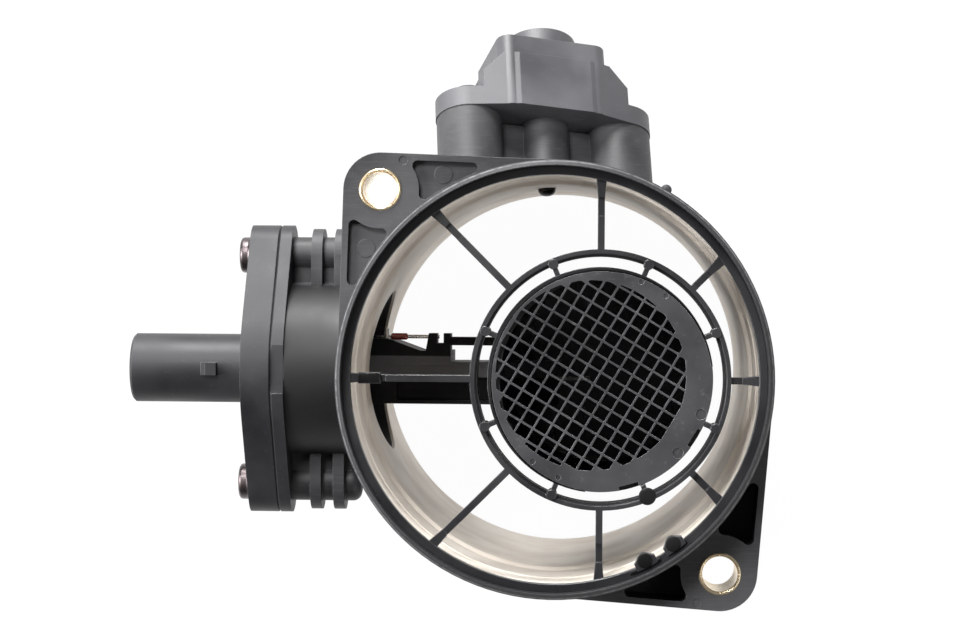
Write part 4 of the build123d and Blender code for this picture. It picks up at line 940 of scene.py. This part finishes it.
# ---------------------------------------------------------------- sub-assemblies
@dataclass
class Duct:
    """Duct housing with its liner and bushings."""

    ear_centre: Corner = (-35.98 * MM, 38.33 * MM)
    ear_radius: float = 7.6 * MM
    ring_radius: float = 44.6 * MM
    edge_wall: float = 1.35 * MM
    boss_radius: float = 8.0 * MM
    barrel_radius: float = 45.0 * MM
    flange_face_z: float = 86.5 * MM
    pocket_depth: float = 1.5 * MM
    floor_thickness: float = 2.0 * MM
    floor_edge: float = 0.05 * MM
    sink: float = 0.12 * MM
    barrel_steps: int = 16
    boss_steps: int = 12
    mark_radius: float = 1.85 * MM
    mark_rise: float = 0.08 * MM
    mark_sink: float = 0.2 * MM
    nub_radius: float = 1.1 * MM
    nub_height: float = 4.0 * MM
    nub_edge: float = 0.3 * MM
    nub_sides: int = 24
    nub_angle: float = 59.8
    nub_orbit: float = 44.6 * MM
    marks: tuple[Corner, ...] = ((-23.1 * MM, 41.5 * MM), (-38.9 * MM, 26.3 * MM))
    finishes: dict[str, Finish] = field(default_factory=lambda: {
        "duct_housing": Finish.HOUSING,
        "air_liner": Finish.LINER,
        "flange_bushings": Finish.BRASS,
    })

    def build(self) -> None:
        """Dress the duct's nodes, floor the upper ear's pockets and set the barrel's nub."""
        dress(self.finishes)
        self.floor_pockets()
        self.set_nub()

    def set_nub(self) -> None:
        """Small moulded nub on the barrel, up to the level of the flange's face."""
        mesh = bmesh.new()
        radius, edge, high = self.nub_radius, self.nub_edge, self.flange_face_z
        low = high - self.nub_height
        nub = turned_form(((0.0, low), (radius, low), (radius, high - edge), (radius - edge, high),
                           (0.0, high)), self.nub_sides)
        turn = math.radians(self.nub_angle)
        place = Vector((self.nub_orbit * math.cos(turn), self.nub_orbit * math.sin(turn), 0.0))
        add_form(mesh, nub, Matrix.Translation(place))
        make_piece("barrel_nub", mesh, Finish.HOUSING)

    def pocket_outline(self, side: int) -> list[Corner]:
        """Outline of one pocket between the ear's boss, its edge wall and the barrel.

        Args:
            side: 1 for the pocket beyond the boss anticlockwise, -1 for the other.

        Returns:
            Corners of the outline, a little inside the walls.
        """
        heading = math.atan2(self.ear_centre[1], self.ear_centre[0])
        span = math.hypot(*self.ear_centre)
        barrel = self.barrel_radius - self.sink
        boss = self.boss_radius - self.sink
        ring = self.ring_radius - self.edge_wall + self.sink
        swing = math.acos((self.ring_radius - self.ear_radius) / span)
        start = math.acos((span ** 2 + barrel ** 2 - boss ** 2) / (2 * span * barrel))
        end = swing - math.acos(min(1.0, ring / barrel))
        steps = self.barrel_steps
        corners = [(barrel, start + (end - start) * step / steps) for step in range(steps + 1)]
        across = span * math.cos(swing)
        along = span * math.sin(swing)
        reach = along - math.sqrt(max(boss ** 2 - (ring - across) ** 2, 0.0))
        meet = (math.hypot(ring, reach), swing - math.atan2(reach, ring))
        first = math.atan2(meet[0] * math.sin(meet[1]), meet[0] * math.cos(meet[1]) - span)
        last = math.atan2(barrel * math.sin(start), barrel * math.cos(start) - span)
        outline = [(radius * math.cos(turn), radius * math.sin(turn)) for radius, turn in corners]
        for step in range(self.boss_steps + 1):
            turn = first + (last - first) * step / self.boss_steps
            outline.append((span + boss * math.cos(turn), boss * math.sin(turn)))
        placed = []
        for x, y in outline[:-1]:
            y *= side
            placed.append((x * math.cos(heading) - y * math.sin(heading),
                           x * math.sin(heading) + y * math.cos(heading)))
        return placed[::side]

    def floor_pockets(self) -> None:
        """Floors of the upper ear's two pockets, with the mould's round marks on them."""
        mesh = bmesh.new()
        top = self.flange_face_z - self.pocket_depth
        for side in (1, -1):
            outline = self.pocket_outline(side)
            form = raised_form(outline, top - self.floor_thickness, top, self.floor_edge)
            shade_smooth(form, False)
            add_form(mesh, form)
        for x, y in self.marks:
            mark = turned_form(((self.mark_radius, -self.mark_sink),
                                (self.mark_radius, self.mark_rise), (0.0, self.mark_rise)))
            shade_smooth(mark, False)
            add_form(mesh, mark, Matrix.Translation((x, y, top)))
        make_piece("ear_pocket_floors", mesh, Finish.HOUSING)


@dataclass(frozen=True)
class MeltedLobe:
    """Locating lobe that was melted over: a dome on it, and a land along the carrier's ring."""

    angle: float
    orbit: float
    radius: float
    land: Span


@dataclass
class FlowCore:
    """Inlet carrier, grid, flow tube and its tail."""

    core_x: float = 9.25 * MM
    face_z: float = 95.0 * MM
    lobe_top_z: float = 95.6 * MM
    lobes: tuple[MeltedLobe, ...] = (
        MeltedLobe(-53.6, 40.55 * MM, 1.56 * MM, (-56.4, -50.2)),
        MeltedLobe(-62.9, 40.50 * MM, 1.56 * MM, (-68.2, -58.8)),
    )
    dome_angles: range = range(0, 91, 15)
    lobe_dome: float = 0.15 * MM
    land_span: Span = (41.05 * MM, 42.35 * MM)
    land_sink: float = 0.2 * MM
    land_rise: float = 0.35 * MM
    land_edge: float = 0.2 * MM
    land_steps: int = 16
    land_taper: Span = (0.12, 0.76)
    land_wobble: float = 0.12 * MM
    land_waves: float = 9.0
    stake_angle: float = -67.5
    stake_orbit: float = 25.1 * MM
    stake_rise: float = 0.35 * MM
    stake_melt: float = 1.75 * MM
    stake_dome: float = 0.2 * MM
    pad_span: Span = (-39.35 * MM, -35.05 * MM)
    pad_width: float = 1.9 * MM
    pad_rise: float = 0.06 * MM
    pad_edge: float = 0.04 * MM
    finishes: dict[str, Finish] = field(default_factory=lambda: {
        "grille_carrier": Finish.CARRIER,
        "flow_grid": Finish.GRID,
        "flow_tube": Finish.TUBE,
        "tube_tail": Finish.TUBE,
    })

    def build(self) -> None:
        """Dress the core's nodes, and add what the heat staking left and the left spoke's land."""
        dress(self.finishes)
        self.melt_lobes()
        self.lay_pad_land()

    def dome(self, radius: float, height: float) -> bmesh.types.BMesh:
        """Flat dome on its own foot.

        Args:
            radius: Radius of the foot.
            height: Height of the crown.

        Returns:
            The dome.
        """
        turns = [math.radians(angle) for angle in self.dome_angles]
        crown = [(radius * math.cos(turn), height * math.sin(turn)) for turn in turns]
        return turned_form(((radius, -height), *crown))

    def melt_lobes(self) -> None:
        """Glossy domes and lands where the carrier was staked, at both lobes and a core stake."""
        mesh = bmesh.new()
        for lobe in self.lobes:
            turn = math.radians(lobe.angle)
            centre = (lobe.orbit * math.cos(turn), lobe.orbit * math.sin(turn), self.lobe_top_z)
            add_form(mesh, self.dome(lobe.radius, self.lobe_dome), Matrix.Translation(centre))
            add_form(mesh, raised_form(self.land_outline(lobe), self.face_z - self.land_sink,
                                       self.face_z + self.land_rise, self.land_edge))
        turn = math.radians(self.stake_angle)
        centre = (self.core_x + self.stake_orbit * math.cos(turn),
                  self.stake_orbit * math.sin(turn), self.face_z + self.stake_rise)
        add_form(mesh, self.dome(self.stake_melt, self.stake_dome), Matrix.Translation(centre))
        make_piece("melted_stakes", mesh, Finish.MELTED)

    def land_outline(self, lobe: MeltedLobe) -> list[Corner]:
        """Uneven outline of a melted land, along the carrier's ring.

        Args:
            lobe: The lobe beside it.

        Returns:
            Corners of the outline.
        """
        inner, outer = self.land_span
        middle = (inner + outer) / 2
        start, end = (math.radians(angle) for angle in lobe.land)
        first, sweep = self.land_taper
        near, far = [], []
        for index in range(self.land_steps + 1):
            share = index / self.land_steps
            turn = start + (end - start) * share
            half = (outer - inner) / 2 * math.sin(math.pi * (first + sweep * share)) ** 0.5
            wobble = self.land_wobble * math.sin(self.land_waves * share + lobe.angle)
            for side, reach in ((near, middle - half + wobble), (far, middle + half)):
                side.append((reach * math.cos(turn), reach * math.sin(turn)))
        return near[::-1] + far

    def lay_pad_land(self) -> None:
        """Smooth dark land on the pad of the left spoke."""
        mesh = bmesh.new()
        (start, end), half = self.pad_span, self.pad_width / 2
        outline = [(start, -half), (end, -half), (end, half), (start, half)]
        add_form(mesh, raised_form(outline, self.face_z - self.land_sink,
                                   self.face_z + self.pad_rise, self.pad_edge))
        make_piece("pad_land", mesh, Finish.MELTED)


@dataclass
class HotFilmSensor:
    """Plug-in sensor with its cover, connector, arm and bead."""

    head_face_x: float = -69.7 * MM
    axis_z: float = 33.0 * MM
    screw_spacing: float = 51.6 * MM
    screw: FlangedScrew = field(default_factory=lambda: FlangedScrew(bite=20.5 * MM))
    finishes: dict[str, Finish] = field(default_factory=lambda: {
        "sensor_body": Finish.SENSOR,
        "sensor_seal": Finish.SEAL,
        "sensor_cover": Finish.SENSOR,
        "cover_gasket": Finish.SEAL,
        "circuit_board": Finish.BOARD,
        "board_chips": Finish.CHIP,
        "lead_frame": Finish.CONTACT,
        "arm_lid": Finish.ARM,
        "hot_film_element": Finish.CERAMIC,
        "temperature_bead": Finish.BEAD,
        "bead_leads": Finish.TINNED,
        "connector_pins": Finish.CONTACT,
        "sensor_screws": Finish.SCREW,
        "sensor_sleeves": Finish.SCREW,
    })

    def build(self) -> None:
        """Dress the sensor's nodes and put its screws in."""
        dress(self.finishes)
        self.put_screws()

    def put_screws(self) -> None:
        """The two flanged screws that hold the sensor, heads towards -X."""
        mesh = bmesh.new()
        for side in (1, -1):
            origin = Vector((self.head_face_x, side * self.screw_spacing / 2, self.axis_z))
            self.screw.add_to(mesh, axes(origin, Vector((0.0, 1.0, 0.0)), Vector((-1.0, 0.0, 0.0))))
        piece = make_piece("sensor_screw_pair", mesh, Finish.SCREW)
        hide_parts("sensor_screws")


@dataclass
class PressureSensor:
    """Pressure sensor on its three posts."""

    origin: Triple = (-3.85 * MM, 54.9 * MM, 28.5 * MM)
    lean_back: float = 25.5
    lean_side: float = 3.5
    yaw: float = 21.0
    screw_spacing: float = 35.6 * MM
    plate_thickness: float = 4.7 * MM
    tip_radius: float = 1.95 * MM
    tip_start: float = 14.2 * MM
    tip_reach: float = 16.6 * MM
    tip_nose: tuple[Corner, ...] = ((0.5, 0.0), (0.85, 0.25 * MM), (1.0, 0.7 * MM))
    tip_sides: int = 32
    screw: FlangedScrew = field(default_factory=FlangedScrew)
    finishes: dict[str, Finish] = field(default_factory=lambda: {
        "pressure_body": Finish.PRESSURE,
        "pressure_nipple": Finish.PRESSURE,
        "pressure_seal": Finish.SEAL,
        "pressure_cell": Finish.CERAMIC,
        "pressure_pins": Finish.CONTACT,
        "pressure_screws": Finish.SCREW,
        "pressure_sleeves": Finish.SCREW,
    })

    def place(self) -> Matrix:
        """Frame of the sensor, with its origin in the mounting face.

        Returns:
            The frame's matrix: x runs along the screws and z up through the sensor.
        """
        back, side = math.radians(self.lean_back), math.radians(self.lean_side)
        yaw = math.radians(self.yaw)
        up = Vector((-math.sin(side), math.cos(side) * math.cos(back),
                     -math.cos(side) * math.sin(back)))
        return axes(Vector(self.origin), Vector((math.cos(yaw), 0.0, -math.sin(yaw))), up)

    def build(self) -> None:
        """Dress the sensor's nodes, put its screws in and add the tip of its port."""
        dress(self.finishes)
        self.put_screws()
        self.add_port_tip()

    def put_screws(self) -> None:
        """The two flanged screws that hold the sensor, through its plate."""
        mesh = bmesh.new()
        for side in (1, -1):
            step = Matrix.Translation((side * self.screw_spacing / 2, 0.0, self.plate_thickness))
            self.screw.add_to(mesh, self.place() @ step)
        piece = make_piece("pressure_screw_pair", mesh, Finish.SCREW)
        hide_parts("pressure_screws")

    def add_port_tip(self) -> None:
        """Rounded tip of the pressure port, where it looks into the bore."""
        mesh = bmesh.new()
        low, high, radius = -self.tip_reach, -self.tip_start, self.tip_radius
        nose = [(radius * share, low + rise) for share, rise in self.tip_nose]
        tip = turned_form(((0.0, low), *nose, (radius, high), (0.0, high)), self.tip_sides)
        add_form(mesh, tip, self.place())
        make_piece("port_tip", mesh, Finish.TUBE)


def main() -> None:
    """Build the studio and the sub-assemblies."""
    logging.basicConfig(level=logging.INFO, format="%(message)s")
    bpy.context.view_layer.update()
    for assembly in (Studio(), Duct(), FlowCore(), HotFilmSensor(), PressureSensor()):
        assembly.build()


if __name__ == "__main__":
    main()
